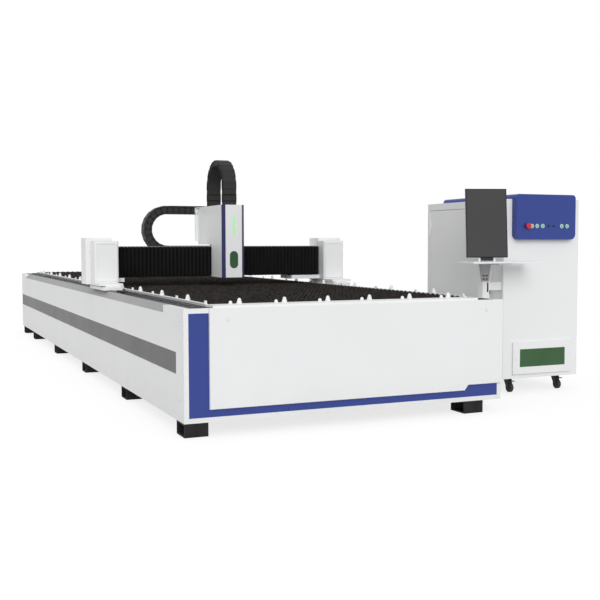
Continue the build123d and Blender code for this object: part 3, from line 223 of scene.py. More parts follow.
def plastic(name, colour, roughness=0.45, grain=900.0, depth=0.0001, gloss=0.4):
    """Moulded plastic: a fine spark-eroded grain and a slight change of sheen."""
    finish = Finish(name, roughness, Specular_IOR_Level=gloss)
    grit = finish.noise(grain, 2.0)
    cloud = finish.noise(14.0, 3.0)
    finish.colour(finish.mix(cloud, shade(colour, 0.88), shade(colour, 1.12)))
    finish.rough(cloud * 0.16 + (roughness - 0.08))
    finish.bump(grit, depth, 0.4)
    return finish


WHITE = (0.80, 0.805, 0.81)
BLUE = (0.026, 0.05, 0.255)
white_paint = painted("white_powder_coat", WHITE)
white_bed = painted("white_powder_coat_low", WHITE, dust=0.1)
blue_paint = painted("blue_powder_coat", BLUE, 0.3)
black_paint = painted("black_paint", (0.017, 0.017, 0.018), 0.45, gloss=0.25)
grey_paint = painted("grey_paint", (0.2, 0.205, 0.215), 0.45)
foot_paint = painted("foot_paint", (0.012, 0.0115, 0.012), 0.6, 0.04, 0.15)
ground_steel = metal("ground_steel", (0.62, 0.63, 0.64), 0.26, (60, 1, 60))
drawn_steel = metal("drawn_steel", (0.66, 0.67, 0.69), 0.22, (60, 60, 1), 0.1)
aluminium = metal("milled_aluminium", (0.74, 0.75, 0.77), 0.34, (60, 60, 1), 0.12)
chain_plastic = plastic("chain_plastic", (0.024, 0.024, 0.025), 0.5, 600.0, gloss=0.25)
black_plastic = plastic("black_plastic", (0.01, 0.01, 0.011), 0.4, gloss=0.3)
housing_plastic = plastic("monitor_housing", (0.02, 0.02, 0.021), 0.45, 1200.0, gloss=0.2)
red_plastic = plastic("red_button", (0.58, 0.018, 0.022), 0.25, 1500.0)
green_plastic = plastic("green_button", (0.16, 0.62, 0.3), 0.25, 1500.0)
amber_plastic = plastic("amber_button", (0.42, 0.5, 0.2), 0.25, 1500.0)
navy_paint = painted("navy_trim", (0.014, 0.017, 0.095), 0.35)
bezel_metal = metal("bezel_metal", (0.82, 0.84, 0.83), 0.3, (1, 1, 1), 0.05)
gusset_metal = metal("gusset_metal", (0.3, 0.3, 0.31), 0.45, (60, 60, 1), 0.2)
tyre_rubber = plastic("caster_tyre", (0.03, 0.03, 0.033), 0.7, 300.0, 0.0003)

# Cladding of the table's sides: white sheets with a grey band and a grey bevel along the top
BAND_BOTTOM, BAND_TOP, BAND_START = 0.3651, 0.4989, BED_FRONT + 0.166
BEVEL_BOTTOM, BEVEL_START, BEVEL_END = 0.7225, BED_FRONT + 0.452, BED_FRONT + 7.15
side_paint = Finish("side_cladding", 0.42, Specular_IOR_Level=0.15)
x, y, z = side_paint.axes()
cloud = side_paint.noise(SLOW_CLOUD, 2.0)
speck = side_paint.noise(ORANGE_PEEL, 1.0)
tone = side_paint.mix(cloud, shade(WHITE, 0.965), shade(WHITE, 1.02))
band = (z > BAND_BOTTOM) * (z < BAND_TOP) * (y > BAND_START)
tone = side_paint.mix(band, tone, side_paint.mix(cloud, (0.095, 0.095, 0.098), (0.115, 0.115, 0.118)))
bevel = (z > BEVEL_BOTTOM) * (y > BEVEL_START) * (y < BEVEL_END)
tone = side_paint.mix(bevel, tone, side_paint.mix(cloud, (0.3, 0.3, 0.305), (0.34, 0.34, 0.345)))
side_paint.colour(side_paint.dusted(tone, z, 0.3, 0.08, 0.1))
side_paint.rough(side_paint.noise(SHEEN_CLOUD, 3.0) * 0.14 + 0.31)
side_paint.bump(speck, PEEL_DEPTH, PEEL_STRENGTH)

# Slats: dark scaled steel, burnt brown and spattered towards the tips
BURN_FOOT, BURN_TIP = 0.765, 0.797
slat_steel = Finish("scaled_slat_steel", 0.62, 0.2, Specular_IOR_Level=0.3)
x, y, z = slat_steel.axes()
scale = slat_steel.noise(38.0, 6.0, rough=0.65)
burn = slat_steel.ramp(z, BURN_FOOT, BURN_TIP) * slat_steel.ramp(slat_steel.noise(24.0, 4.0), 0.35, 0.7)
tone = slat_steel.mix(scale, (0.004, 0.0038, 0.0038), (0.013, 0.0122, 0.012))
tone = slat_steel.mix(burn, tone, (0.06, 0.047, 0.04))
slat_steel.colour(tone)
slat_steel.rough(scale * 0.3 + 0.45)
slat_steel.bump(scale, 0.0008, 0.6)

tray_steel = Finish("tray_steel", 0.6, 0.2, Specular_IOR_Level=0.3)
soot = tray_steel.noise(7.0, 6.0, rough=0.7)
tray_steel.colour(tray_steel.mix(soot, (0.012, 0.011, 0.011), (0.05, 0.045, 0.04)))
tray_steel.rough(soot * 0.3 + 0.45)
tray_steel.bump(soot, 0.0006, 0.4)

# Bellows: black coated fabric with a fine weave, with a painted highlight: grey along the tops of the folds,
# where they catch the light
HIGHLIGHT_ABOVE = 1.1305
bellows_cloth = Finish("bellows_cloth", 0.55, Specular_IOR_Level=0.15)
weave = bellows_cloth.noise(1400.0, 2.0, (1, 1, 0.4))
fold = bellows_cloth.noise(11.0, 3.0)
x, y, z = bellows_cloth.axes()
tone = bellows_cloth.mix(fold, (0.003, 0.003, 0.0033), (0.008, 0.008, 0.0088))
# Painted highlight: above this height the fold tops are mixed to grey, standing for the light they catch
bellows_cloth.colour(bellows_cloth.mix((z > HIGHLIGHT_ABOVE) * 0.8, tone, (0.22, 0.22, 0.225)))
bellows_cloth.rough(fold * 0.2 + 0.42)
bellows_cloth.bump(weave, 0.0002, 0.5)

# Glass and lights
green_glass = Finish("green_window", 0.12, Specular_IOR_Level=0.3)
tint = green_glass.noise(5.0, 2.0)
green_glass.colour(green_glass.mix(tint, (0.02, 0.075, 0.025), (0.035, 0.105, 0.04)))
green_glass.rough(tint * 0.05 + 0.05)

smoked_glass = Finish("smoked_window", 0.12, Specular_IOR_Level=0.3)
tint = smoked_glass.noise(4.0, 2.0)
smoked_glass.colour(smoked_glass.mix(tint, (0.03, 0.085, 0.03), (0.045, 0.12, 0.042)))
smoked_glass.rough(tint * 0.06 + 0.05)

screen_glass = Finish("screen_glass", 0.35, Specular_IOR_Level=0.08)
tint = screen_glass.noise(3.0, 2.0)
screen_glass.colour(screen_glass.mix(tint, (0.05, 0.05, 0.052), (0.058, 0.058, 0.06)))
screen_glass.rough(tint * 0.06 + 0.34)

led_light = Finish("light_strip", 0.35)
x, y, z = led_light.axes()
glow = led_light.noise(60.0, 1.0, (1, 1, 3))
led_light.colour(led_light.mix(glow, (0.32, 0.68, 0.3), (0.45, 0.8, 0.4)))
led_light.plug(led_light.shader.inputs["Emission Color"],
               led_light.mix(glow, (0.22, 0.8, 0.25), (0.4, 0.95, 0.4)))
led_light.shader.inputs["Emission Strength"].default_value = 0.25

FINISHES = {
    "bed_frame": white_bed, "bed_feet": foot_paint, "front_inset": blue_paint, "front_panel": white_bed,
    "panel_locks": bezel_metal, "bed_panels": side_paint, "y_guideways": ground_steel,
    "rail_covers": black_paint, "slat_rails": white_paint, "slats": slat_steel, "ball_units": white_paint,
    "scrap_trays": tray_steel, "y_chain_tray": white_paint, "y_chain": chain_plastic,
    "gantry_slides": white_paint, "y_drives": black_paint, "left_post": white_paint,
    "right_post": white_paint, "gantry_beam": white_paint, "x_guideway": ground_steel,
    "bellows_left": bellows_cloth, "bellows_right": bellows_cloth, "x_chain": chain_plastic,
    "x_chain_tray": white_paint, "carriage_saddle": aluminium, "x_drive": black_paint,
    "z_drive": black_paint, "z_screw": drawn_steel, "z_plate": aluminium, "cutting_head": aluminium,
    "carriage_cover": white_paint, "carriage_trim": navy_paint, "led_strip": led_light,
    "head_window": green_glass, "z_chain": chain_plastic, "cabinet_body": white_paint,
    "cabinet_door": white_paint, "door_handle": black_plastic, "hatch": white_paint,
    "hatch_window": smoked_glass, "console_housing": blue_paint, "emergency_stop": red_plastic,
    "button_1": amber_plastic, "button_2": green_plastic, "button_3": green_plastic,
    "button_4": green_plastic, "button_5": green_plastic, "laser_source": grey_paint,
    "drive_rack": grey_paint, "monitor_bracket": white_paint, "keyboard_shelf": white_paint,
    "monitor": housing_plastic,
}
for number in range(1, 5):
    FINISHES[f"caster_fork_{number}"] = black_paint
    FINISHES[f"caster_wheel_{number}"] = tyre_rubber
for name, finish in FINISHES.items():
    mesh = nodes[name].data
    mesh.materials.clear()
    mesh.materials.append(finish.material)


def begin():
    bpy.ops.object.select_all(action="DESELECT")


def edit(kind):
    """Enters edit mode, to select by FACE or by VERT."""
    bpy.ops.object.mode_set(mode="EDIT")
    bpy.ops.mesh.select_mode(type=kind)


def leave_edit():
    bpy.ops.object.mode_set(mode="OBJECT")


def pick(piece, test):
    """Selects, in edit mode, the faces whose centre and normal pass the test."""
    mesh = bmesh.from_edit_mesh(piece.data)
    for face in mesh.faces:
        face.select_set(bool(test(face.calc_center_median(), face.normal)))
    mesh.select_flush_mode()
    bmesh.update_edit_mesh(piece.data)


def pick_points(piece, test):
    """Selects, in edit mode, the points that pass the test."""
    mesh = bmesh.from_edit_mesh(piece.data)
    for point in mesh.verts:
        point.select_set(bool(test(point.co)))
    mesh.select_flush(False)
    bmesh.update_edit_mesh(piece.data)


def push(depth):
    """Moves the picked faces along their normals, outwards where the depth is above nought."""
    bpy.ops.mesh.extrude_region_shrink_fatten(TRANSFORM_OT_shrink_fatten={"value": depth})


def outward():
    """Makes all normals of the mesh in edit mode point outwards."""
    bpy.ops.mesh.select_all(action="SELECT")
    bpy.ops.mesh.normals_make_consistent(inside=False)


def settle(piece, name, finish, body=None, stands_for=()):
    """Applies the piece's place, names it, and hangs it on its body."""
    begin()
    piece.select_set(True)
    bpy.context.view_layer.objects.active = piece
    bpy.ops.object.transform_apply(location=True, rotation=True, scale=True)
    piece.name = name
    piece.data.name = name
    piece.data.materials.clear()
    piece.data.materials.append(finish.material)
    if body:
        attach(piece, body)
    if stands_for:
        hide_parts(*stands_for)
    return piece


def apply(piece, kind, **settings):
    modifier = piece.modifiers.new(kind.lower(), kind)
    for key, value in settings.items():
        setattr(modifier, key, value)
    begin()
    piece.select_set(True)
    bpy.context.view_layer.objects.active = piece
    bpy.ops.object.modifier_apply(modifier=modifier.name)


def spread(piece, places):
    """Copies the piece to each place, given as a matrix, and joins the copies into one object."""
    copies = []
    for place in places:
        copy = piece.copy()
        copy.data = piece.data.copy()
        copy.data.transform(place)
        bpy.context.scene.collection.objects.link(copy)
        copies.append(copy)
    bpy.data.objects.remove(piece)
    begin()
    for copy in copies:
        copy.select_set(True)
    bpy.context.view_layer.objects.active = copies[0]
    if len(copies) > 1:
        bpy.ops.object.join()
    return copies[0]


def turned(steps, sides=24):
    """A round piece about Z, drawn up from a disc by extruding and scaling: steps are (height, radius)."""
    begin()
    height, radius = steps[0]
    bpy.ops.mesh.primitive_circle_add(vertices=sides, radius=radius, fill_type="NGON",
                                      location=(0, 0, height))
    piece = bpy.context.object
    bpy.ops.object.transform_apply(location=True, rotation=True, scale=True)
    edit("FACE")
    bpy.ops.mesh.select_all(action="SELECT")
    for next_height, next_radius in steps[1:]:
        bpy.ops.mesh.extrude_region_move(TRANSFORM_OT_translate={"value": (0, 0, next_height - height)})
        growth = next_radius / radius
        bpy.ops.transform.resize(value=(growth, growth, 1), center_override=(0, 0, next_height))
        height, radius = next_height, next_radius
    outward()
    leave_edit()
    bpy.ops.object.shade_smooth_by_angle(angle=radians(40))
    return piece


def facing(point, direction):
    """A matrix that takes a piece drawn up along Z to a point, with its Z along the direction."""
    return Matrix.Translation(point) @ Vector(direction).to_track_quat("Z", "Y").to_matrix().to_4x4()


# Floor and background: plain white that keeps a soft shadow under the machine
FLOOR_SHARE, FLOOR_GLOW, ROOM_LIGHT = 0.5, 1.53, 0.76
begin()
bpy.ops.mesh.primitive_plane_add(size=120, location=(0, 20, -0.001))
floor = bpy.context.object
floor.name = "floor"
floor_paint = Finish("floor_paint", 0.9)
floor_paint.colour(floor_paint.mix(floor_paint.noise(0.6, 2.0), (0.49, 0.49, 0.49), (0.51, 0.51, 0.51)))
share = floor_paint.seen_by("Camera", "Glossy") * FLOOR_SHARE
glow = floor_paint.node("ShaderNodeEmission", {}, {"Color": (1, 1, 1), "Strength": FLOOR_GLOW})
blend = floor_paint.node("ShaderNodeMixShader", {}, {0: share, 1: floor_paint.shader.outputs[0],
                                                     2: glow.outputs[0]})
floor_paint.plug(floor_paint.tree.nodes["Material Output"].inputs[0], blend.outputs[0])
floor.data.materials.append(floor_paint.material)

world = bpy.data.worlds.new("studio")
world.use_nodes = True
bpy.context.scene.world = world
room = Nodes(world.node_tree)
backdrop = room.seen_by("Camera", "Transmission")
level = room.node("ShaderNodeMapRange", {}, {"Value": backdrop, "To Min": ROOM_LIGHT, "To Max": 1.0})
background = room.tree.nodes["Background"]
room.plug(background.inputs["Color"], (1, 1, 1))
room.plug(background.inputs["Strength"], level.outputs[0])


def lamp(name, place, target, size, power):
    data = bpy.data.lights.new(name, "AREA")
    data.shape = "DISK"
    data.size = size
    data.energy = power
    light = bpy.data.objects.new(name, data)
    bpy.context.scene.collection.objects.link(light)
    light.location = place
    light.rotation_euler = (Vector(target) - Vector(place)).to_track_quat("-Z", "Y").to_euler()
    light.visible_camera = False


lamp("side", place=(-11, -2, 5.0), target=(-1.0, -0.5, 0.5), size=7, power=90)
sun_data = bpy.data.lights.new("window_light", "SUN")
sun_data.energy = 1.4
sun_data.angle = radians(40)
sun = bpy.data.objects.new("window_light", sun_data)
bpy.context.scene.collection.objects.link(sun)
sun.rotation_euler = Vector((0.24, 0.88, -0.4)).to_track_quat("-Z", "Y").to_euler()


# Slats: each sawn from flat bar with a row of teeth, and set across the table in its comb
TEETH, TOOTH_DEPTH, SLAT_THICKNESS = 29, 0.019, 0.004
slat_low, slat_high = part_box("slats")
tooth = (slat_high.x - slat_low.x) / TEETH
begin()
bpy.ops.mesh.primitive_grid_add(x_subdivisions=2 * TEETH, y_subdivisions=1, size=1)
slat = bpy.context.object
slat.scale = (slat_high.x - slat_low.x, slat_high.z - slat_low.z, 1)
slat.rotation_euler = (pi / 2, 0, 0)
slat.location = ((slat_low.x + slat_high.x) / 2, SLAT_THICKNESS / 2, (slat_low.z + slat_high.z) / 2)
bpy.ops.object.transform_apply(location=True, rotation=True, scale=True)
edit("VERT")
pick_points(slat, lambda p: p.z > slat_high.z - 0.001 and round((p.x - slat_low.x) / tooth * 2) % 2 == 0)
bpy.ops.transform.translate(value=(0, 0, -TOOTH_DEPTH))
bpy.ops.mesh.select_all(action="SELECT")
bpy.ops.mesh.dissolve_limited(angle_limit=radians(1))
bpy.ops.mesh.select_all(action="SELECT")
bpy.ops.mesh.extrude_region_move(TRANSFORM_OT_translate={"value": (0, -SLAT_THICKNESS, 0)})
outward()
leave_edit()
slat_y = sorted({round(v.co.y, 4) for v in nodes["slats"].data.vertices})
slat_y = [a for a, b in zip(slat_y, slat_y[1:]) if b - a < SLAT_THICKNESS * 1.5]
slats = spread(slat, [Matrix.Translation((0, y + SLAT_THICKNESS / 2, 0)) for y in slat_y])
settle(slats, "sawn_slats", slat_steel, "machine", ["slats"])


# Cable chains: the border of a link's plates, their recesses, and how much narrower every other link is
LINK_BORDER, SIDE_RECESS, LID_RECESS, LINK_PLAY = 0.14, 0.003, 0.0008, 0.004


def link(pitch, height, width):
    """One link of a cable chain: round ends about both pins, recessed side plates and a recessed lid."""
    begin()
    bpy.ops.mesh.primitive_circle_add(vertices=24, radius=height / 2, fill_type="NGON",
                                      rotation=(0, 0, pi / 24))
    piece = bpy.context.object
    bpy.ops.object.transform_apply(location=True, rotation=True, scale=True)
    edit("VERT")
    for side in (-1, 1):
        pick_points(piece, lambda p: side * p.x > 0.0001)
        bpy.ops.transform.translate(value=(side * pitch / 2, 0, 0))
    bpy.ops.mesh.select_mode(type="FACE")
    bpy.ops.mesh.select_all(action="SELECT")
    bpy.ops.transform.translate(value=(0, 0, -width / 2))
    bpy.ops.mesh.extrude_region_move(TRANSFORM_OT_translate={"value": (0, 0, width)})
    outward()
    pick(piece, lambda c, n: abs(n.z) > 0.9)
    bpy.ops.mesh.inset(use_individual=True, thickness=height * LINK_BORDER)
    push(-SIDE_RECESS)
    pick(piece, lambda c, n: abs(n.y) > 0.95)
    bpy.ops.mesh.inset(use_individual=True, thickness=pitch * LINK_BORDER)
    push(-LID_RECESS)
    leave_edit()
    return piece


def chain(name, stands_for, start, runs, radius, pitch, size, plane):
    """Lays links along a straight run, a half turn and a straight run back, in the plane's two axes.
    """
    first, last = runs
    bend = pi * radius
    total = first + bend + last
    count = round(total / pitch)
    height, width = size
    along, up = Vector(plane[0]), Vector(plane[1])
    across = along.cross(up)

    def pin(s):
        turn = min(max((s - first) / radius, 0), pi)
        back = max(s - first - bend, 0)
        return (Vector(start) + along * (min(s, first) + radius * sin(turn) - back)
                + up * (radius - radius * cos(turn)))

    base = link(total / count, height, width)
    places = []
    for n in range(count):
        a, b = pin(n * total / count), pin((n + 1) * total / count)
        run = (b - a).normalized()
        rise = across.cross(run)
        turn = Matrix((run, rise, across)).transposed().to_4x4()
        narrow = 1 if n % 2 else 1 - LINK_PLAY / width
        places.append(Matrix.Translation((a + b) / 2) @ turn @ Matrix.Diagonal((1, 1, narrow, 1)))
    piece = spread(base, places)
    piece = settle(piece, name, chain_plastic, None, stands_for)
    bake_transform(piece)
    for v in piece.data.vertices:
        offset = v.co - Vector(start)
        x, h = offset.dot(along), offset.dot(up)
        if h < radius and x <= first:
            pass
        elif h >= radius and x <= first:
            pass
        else:
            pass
    return piece


# The three chains: across the beam, up over the carriage, and along the table's right side
BEND_X = BED_MID - 0.389
chain("x_chain_links", ["x_chain"], start=(BEND_X + 0.578, BED_FRONT + 3.05, 1.1015), runs=(0.578, 0.478),
      radius=0.182, pitch=0.057, size=(0.076, 0.1), plane=((-1, 0, 0), (0, 0, 1)))
chain("z_chain_links", ["z_chain"], start=(BED_MID - 0.015, BED_FRONT + 2.782, 1.4903), runs=(0.165, 0.343),
      radius=0.21, pitch=0.052, size=(0.05, 0.115), plane=((0, 0, 1), (0, -1, 0)))
chain("y_chain_links", ["y_chain"], start=(BED_RIGHT + 0.043, BED_FRONT + 3.6, 0.375), runs=(2.2, 1.2),
      radius=0.1, pitch=0.056, size=(0.05, 0.076), plane=((0, -1, 0), (0, 0, 1)))

# Bellows: the length of a pleat, how far its inner folds lie in and down, and the cloth's thickness
PLEAT, FOLD_DEPTH, FOLD_DROP, CLOTH = 0.034, 0.015, 0.012, 0.0016
BELLOWS_FRONT, BELLOWS_BACK = BED_FRONT + 2.6, BED_FRONT + 2.69
BELLOWS_LOW, BELLOWS_HIGH = 0.87, 1.136


def bellows(side, a, b):
    """A pleated cover: a front and two returns, folded in a zigzag along X."""
    pleats = round((b - a) / PLEAT)
    front, back, low, high = BELLOWS_FRONT, BELLOWS_BACK, BELLOWS_LOW, BELLOWS_HIGH
    begin()
    bpy.ops.mesh.primitive_grid_add(x_subdivisions=2 * pleats, y_subdivisions=3, size=1)
    piece = bpy.context.object
    piece.scale = (b - a, 3, 1)
    piece.location = ((a + b) / 2, 0, 0)
    bpy.ops.object.transform_apply(location=True, rotation=True, scale=True)
    step = (b - a) / (2 * pleats)
    edit("VERT")
    for row, (y, z) in enumerate(((back, low), (front, low), (front, high), (back, high))):
        flat = -1.5 + row
        pick_points(piece, lambda p: abs(p.y - flat) < 0.01 and abs(p.z) < 0.001)
        bpy.ops.transform.translate(value=(0, y - flat, z))
    inner = {(front, low): (0, FOLD_DEPTH, FOLD_DROP), (front, high): (0, FOLD_DEPTH, -FOLD_DROP),
             (back, high): (0, 0, -FOLD_DROP)}
    for (y, z), shift in inner.items():
        pick_points(piece, lambda p: round((p.x - a) / step) % 2 == 0 and abs(p.y - y) < 0.001
                    and abs(p.z - z) < 0.001)
        bpy.ops.transform.translate(value=shift)
    outward()
    leave_edit()
    apply(piece, "SOLIDIFY", thickness=CLOTH, offset=-1)
    piece = settle(piece, f"bellows_{side}_folds", bellows_cloth, None, [f"bellows_{side}"])
    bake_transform(piece)
    shares = [(v.co.x - a) / (b - a) for v in piece.data.vertices]
    if side == "right":
        shares = [1 - share for share in shares]


POST_GAP, COVER_GAP = 0.1783, 0.1003
bellows("left", BED_LEFT + POST_GAP, BED_MID - COVER_GAP)
bellows("right", BED_MID + COVER_GAP, BED_RIGHT - POST_GAP)

# Ball units: turned white cups with a domed top, along the slat rails and the front rail
BALLS, BALL_INSET, FIRST_BALL, BALL_PITCH, BALL_SEAT = 11, 0.196, 0.56, 0.635, 0.79
FRONT_BALLS, FIRST_FRONT, FRONT_PITCH, FRONT_SEAT = 6, 0.397, 0.303, 0.785
ball_places = [(x, BED_FRONT + FIRST_BALL + BALL_PITCH * n)
               for x in (BED_LEFT + BALL_INSET, BED_RIGHT - BALL_INSET) for n in range(BALLS)]
front_places = [(BED_LEFT + FIRST_FRONT + FRONT_PITCH * n, BED_FRONT + 0.128) for n in range(FRONT_BALLS)]
cup = turned([(0, 0.0185), (0.004, 0.0185), (0.0045, 0.0165), (0.015, 0.0155), (0.0155, 0.0125),
              (0.022, 0.0122), (0.028, 0.0108), (0.033, 0.0075), (0.036, 0.003)], 20)
cups = spread(cup, [Matrix.Translation((x, y, BALL_SEAT)) for x, y in ball_places]
              + [Matrix.Translation((x, y, FRONT_SEAT)) for x, y in front_places])
small = turned([(0, 0.0135), (0.003, 0.0135), (0.0035, 0.0115), (0.012, 0.011), (0.017, 0.0085),
                (0.021, 0.003)], 16)
small = spread(small, [Matrix.Translation((x - 0.062, y - 0.013, FRONT_SEAT)) for x, y in front_places])
settle(small, "small_domes", white_paint, "machine")
settle(cups, "ball_cups", white_paint, "machine", ["ball_units"])


def block(low, high, bevel=0.0):
    """A block between two corners, ready to be shaped in edit mode."""
    begin()
    bpy.ops.mesh.primitive_cube_add(size=1)
    piece = bpy.context.object
    piece.location = [(a + b) / 2 for a, b in zip(low, high)]
    piece.scale = [b - a for a, b in zip(low, high)]
    bpy.ops.object.transform_apply(location=True, rotation=True, scale=True)
    if bevel:
        apply(piece, "BEVEL", width=bevel, segments=2)
    return piece


def joined(*pieces):
    begin()
    for piece in pieces:
        piece.select_set(True)
    bpy.context.view_layer.objects.active = pieces[0]
    bpy.ops.object.join()
    return pieces[0]


# Monitor: a slim case with a recessed front, a bulge behind it and a lug on its hinge, and the screen
CASE_HALF, CASE_FOOT, CASE_TOP, CASE_FRONT, CASE_BACK = 0.1525, 0.014, 0.521, -0.021, 0.001
BULGE_BORDER, BULGE_DEPTH, SCREEN_INSET = 0.03, 0.02, 0.0063
yaw, lean = radians(20), radians(7)
right = Vector((cos(yaw), -sin(yaw), 0))
rise = Vector((sin(lean) * sin(yaw), sin(lean) * cos(yaw), cos(lean)))
monitor_place = Matrix.Translation((CABINET_LEFT - 0.241, BED_FRONT + 0.433, 1.036)) @ Matrix(
    (right, rise.cross(right), rise)).transposed().to_4x4()
case = block((-CASE_HALF, CASE_FRONT, CASE_FOOT), (CASE_HALF, CASE_BACK, CASE_TOP))
edit("FACE")
pick(case, lambda c, n: n.y < -0.9)
bpy.ops.mesh.inset(thickness=0.006)
push(-0.002)
pick(case, lambda c, n: n.y > 0.9)
bpy.ops.mesh.inset(thickness=BULGE_BORDER)
bpy.ops.mesh.extrude_region_move(TRANSFORM_OT_translate={"value": (0, BULGE_DEPTH, 0)})
bpy.ops.transform.resize(value=(0.9, 1, 0.94),
                         center_override=(0, CASE_BACK + BULGE_DEPTH, (CASE_FOOT + CASE_TOP) / 2))
leave_edit()
apply(case, "BEVEL", width=0.003, segments=2, limit_method="ANGLE")
lug = block((-0.046, -0.008, -0.008), (0.046, 0.008, 0.02), 0.002)
case = joined(case, lug)
case.data.transform(monitor_place)
settle(case, "monitor_case", housing_plastic, "monitor", ["monitor"])
screen = block((SCREEN_INSET - CASE_HALF, -0.0198, CASE_FOOT + SCREEN_INSET),
               (CASE_HALF - SCREEN_INSET, -0.0186, CASE_TOP - SCREEN_INSET), 0.0004)
screen.data.transform(monitor_place)
settle(screen, "monitor_screen", screen_glass, "monitor")

# Stand of the monitor: a grey gusset with four bolts, and a long slot in the post, drawn as a black piece
# that is painted shade
SLOT_RADIUS, SLOT_LENGTH, SLOT_FOOT = 0.0065, 0.062, 0.7925
GUSSET_HALF, GUSSET_FOOT, GUSSET_TOP, GUSSET_PLATE = 0.053, 0.868, 0.998, 0.005
post_x, post_y = CABINET_LEFT - 0.15, BED_FRONT + 0.57
gusset_x = post_x - 0.012
gusset = block((gusset_x - GUSSET_HALF, post_y - GUSSET_PLATE, GUSSET_FOOT),
               (gusset_x + GUSSET_HALF, post_y - 0.0002, GUSSET_TOP))
edit("VERT")
pick_points(gusset, lambda p: p.z < 0.9)
bpy.ops.transform.resize(value=(0.62, 1, 1), center_override=(gusset_x, 0, 0))
leave_edit()
apply(gusset, "BEVEL", width=0.0015, segments=2)
settle(gusset, "stand_gusset", gusset_metal, "machine")
bolt = turned([(0, 0.006), (0.0035, 0.006), (0.004, 0.0035), (0.0028, 0.003)], 12)
bolts = spread(bolt, [facing((gusset_x + dx, post_y - GUSSET_PLATE, z), (0, -1, 0))
                      for dx in (-0.014, 0.014) for z in (0.886, 0.912)])
settle(bolts, "gusset_bolts", black_paint, "machine")
# The slot: a black stadium laid on the post, its dark colour painted shade standing for the opening
begin()
bpy.ops.mesh.primitive_circle_add(vertices=16, radius=SLOT_RADIUS, fill_type="NGON")
slot = bpy.context.object
edit("VERT")
pick_points(slot, lambda p: p.y > 0.0001)
bpy.ops.transform.translate(value=(0, SLOT_LENGTH, 0))
bpy.ops.mesh.select_mode(type="FACE")
bpy.ops.mesh.select_all(action="SELECT")
bpy.ops.mesh.extrude_region_move(TRANSFORM_OT_translate={"value": (0, 0, 0.001)})
bpy.ops.mesh.inset(thickness=0.0012)
push(-0.0008)
outward()
leave_edit()
slot.data.transform(Matrix.Translation((post_x + 0.015, post_y, SLOT_FOOT)) @ Matrix.Rotation(pi / 2, 4, "X"))
settle(slot, "post_slot_painted_shade", black_plastic, "machine")

# Console: domed buttons in bright bezels, a mushroom stop button and two dark lamps
PANEL_Y, PANEL_Z, CAP_SEAT = CABINET_FRONT - 0.05, 1.286, 0.006
caps = {"button_1": 0.221, "button_2": 0.269, "button_3": 0.321, "button_4": 0.501, "button_5": 0.553}
for body, x in caps.items():
    cap = turned([(0, 0.0105), (0.0125, 0.0105), (0.0138, 0.0098), (0.0146, 0.0078), (0.015, 0.004)], 24)
    cap.data.transform(facing((CABINET_LEFT + x, PANEL_Y + CAP_SEAT, PANEL_Z), (0, -1, 0)))
    finish = amber_plastic if body == "button_1" else green_plastic
    settle(cap, f"{body}_cap", finish, body, [body])
stop = turned([(0, 0.009), (0.0195, 0.009), (0.02, 0.0202), (0.0215, 0.0216), (0.028, 0.022), (0.032, 0.0204),
               (0.0345, 0.0165), (0.036, 0.009)], 32)
stop.data.transform(facing((CABINET_LEFT + 0.175, PANEL_Y + CAP_SEAT, PANEL_Z), (0, -1, 0)))
settle(stop, "stop_mushroom", red_plastic, "emergency_stop", ["emergency_stop"])
ring = turned([(0, 0.0165), (0.0025, 0.0165), (0.0042, 0.0148), (0.0042, 0.0121), (0.002, 0.0114),
               (0.0005, 0.0113)], 28)
bezels = spread(ring, [facing((CABINET_LEFT + x, PANEL_Y, PANEL_Z), (0, -1, 0)) for x in caps.values()])
settle(bezels, "button_bezels", bezel_metal, "machine")
lens = turned([(0, 0.0095), (0.003, 0.0095), (0.0045, 0.0078), (0.0058, 0.0045), (0.0062, 0.002)], 20)
lenses = spread(lens, [facing((CABINET_LEFT + x, PANEL_Y + 0.001, PANEL_Z), (0, -1, 0))
                       for x in (0.376, 0.426)])
settle(lenses, "dark_lamps", black_plastic, "machine")

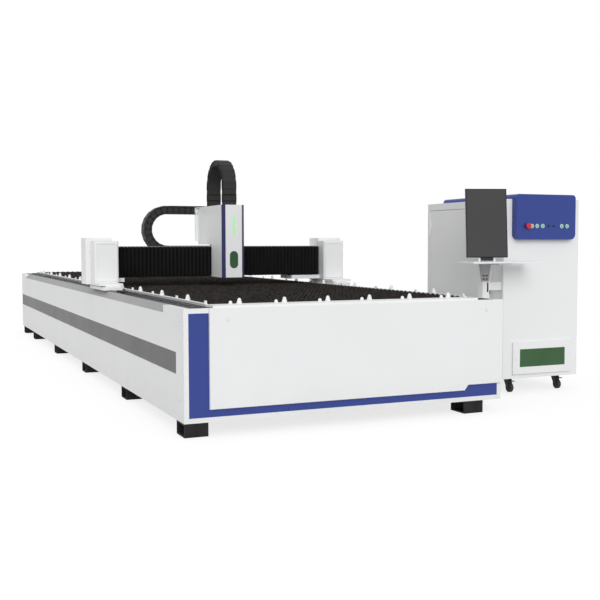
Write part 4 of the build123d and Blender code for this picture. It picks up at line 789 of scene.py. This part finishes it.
# Carriage: a narrow flange at the back edge of the cover
flange = block((BED_MID - 0.13, BED_FRONT + 2.985, 1.181), (BED_MID - 0.1002, BED_FRONT + 2.994, 1.449))
edit("FACE")
pick(flange, lambda c, n: n.y < -0.9)
bpy.ops.mesh.inset(thickness=0.006)
push(-0.0006)
leave_edit()
apply(flange, "BEVEL", width=0.0015, segments=2, limit_method="ANGLE")
settle(flange, "cover_flange", white_paint, "carriage")

# Posts: a folded cover plate on each front, its border proud of its middle
POST_OUT, POST_IN, PLATE_INSET, PLATE_FOOT, PLATE_TOP = 0.022, 0.178, 0.012, 0.842, 1.168
plates = []
for low_x, high_x in ((BED_LEFT - POST_OUT, BED_LEFT + POST_IN), (BED_RIGHT - POST_IN, BED_RIGHT + POST_OUT)):
    plate = block((low_x + PLATE_INSET, BED_FRONT + 2.4935, PLATE_FOOT),
                  (high_x - PLATE_INSET, BED_FRONT + 2.4998, PLATE_TOP))
    edit("FACE")
    pick(plate, lambda c, n: n.y < -0.9)
    bpy.ops.mesh.inset(thickness=0.014)
    push(-0.003)
    leave_edit()
    plates.append(plate)
plates = joined(*plates)
apply(plates, "BEVEL", width=0.0016, segments=2, limit_method="ANGLE")
settle(plates, "post_plates", white_paint, "gantry")

# Small fixings: the screws of the corner sheets, and the lock of the hatch
screw = turned([(0, 0.0045), (0.0012, 0.0045), (0.002, 0.0036), (0.002, 0.0018), (0.001, 0.0015)], 10)
screw_rows = {0.07: (0.69, 0.565, 0.384, 0.22), 0.22: (0.665, 0.13)}
screws = spread(screw, [facing((side, BED_FRONT + y, z), (toward, 0, 0))
                        for side, toward in ((BED_LEFT, -1), (BED_RIGHT, 1))
                        for y, heights in screw_rows.items() for z in heights])
settle(screws, "corner_screws", drawn_steel, "machine")
lock = turned([(0, 0.009), (0.0015, 0.009), (0.0025, 0.0075), (0.0025, 0.0045), (0.0012, 0.0042)], 20)
lock.data.transform(facing((CABINET_LEFT + 0.119, CABINET_FRONT - 0.0148, 0.273), (0, -1, 0)))
settle(lock, "hatch_lock", drawn_steel, "hatch")
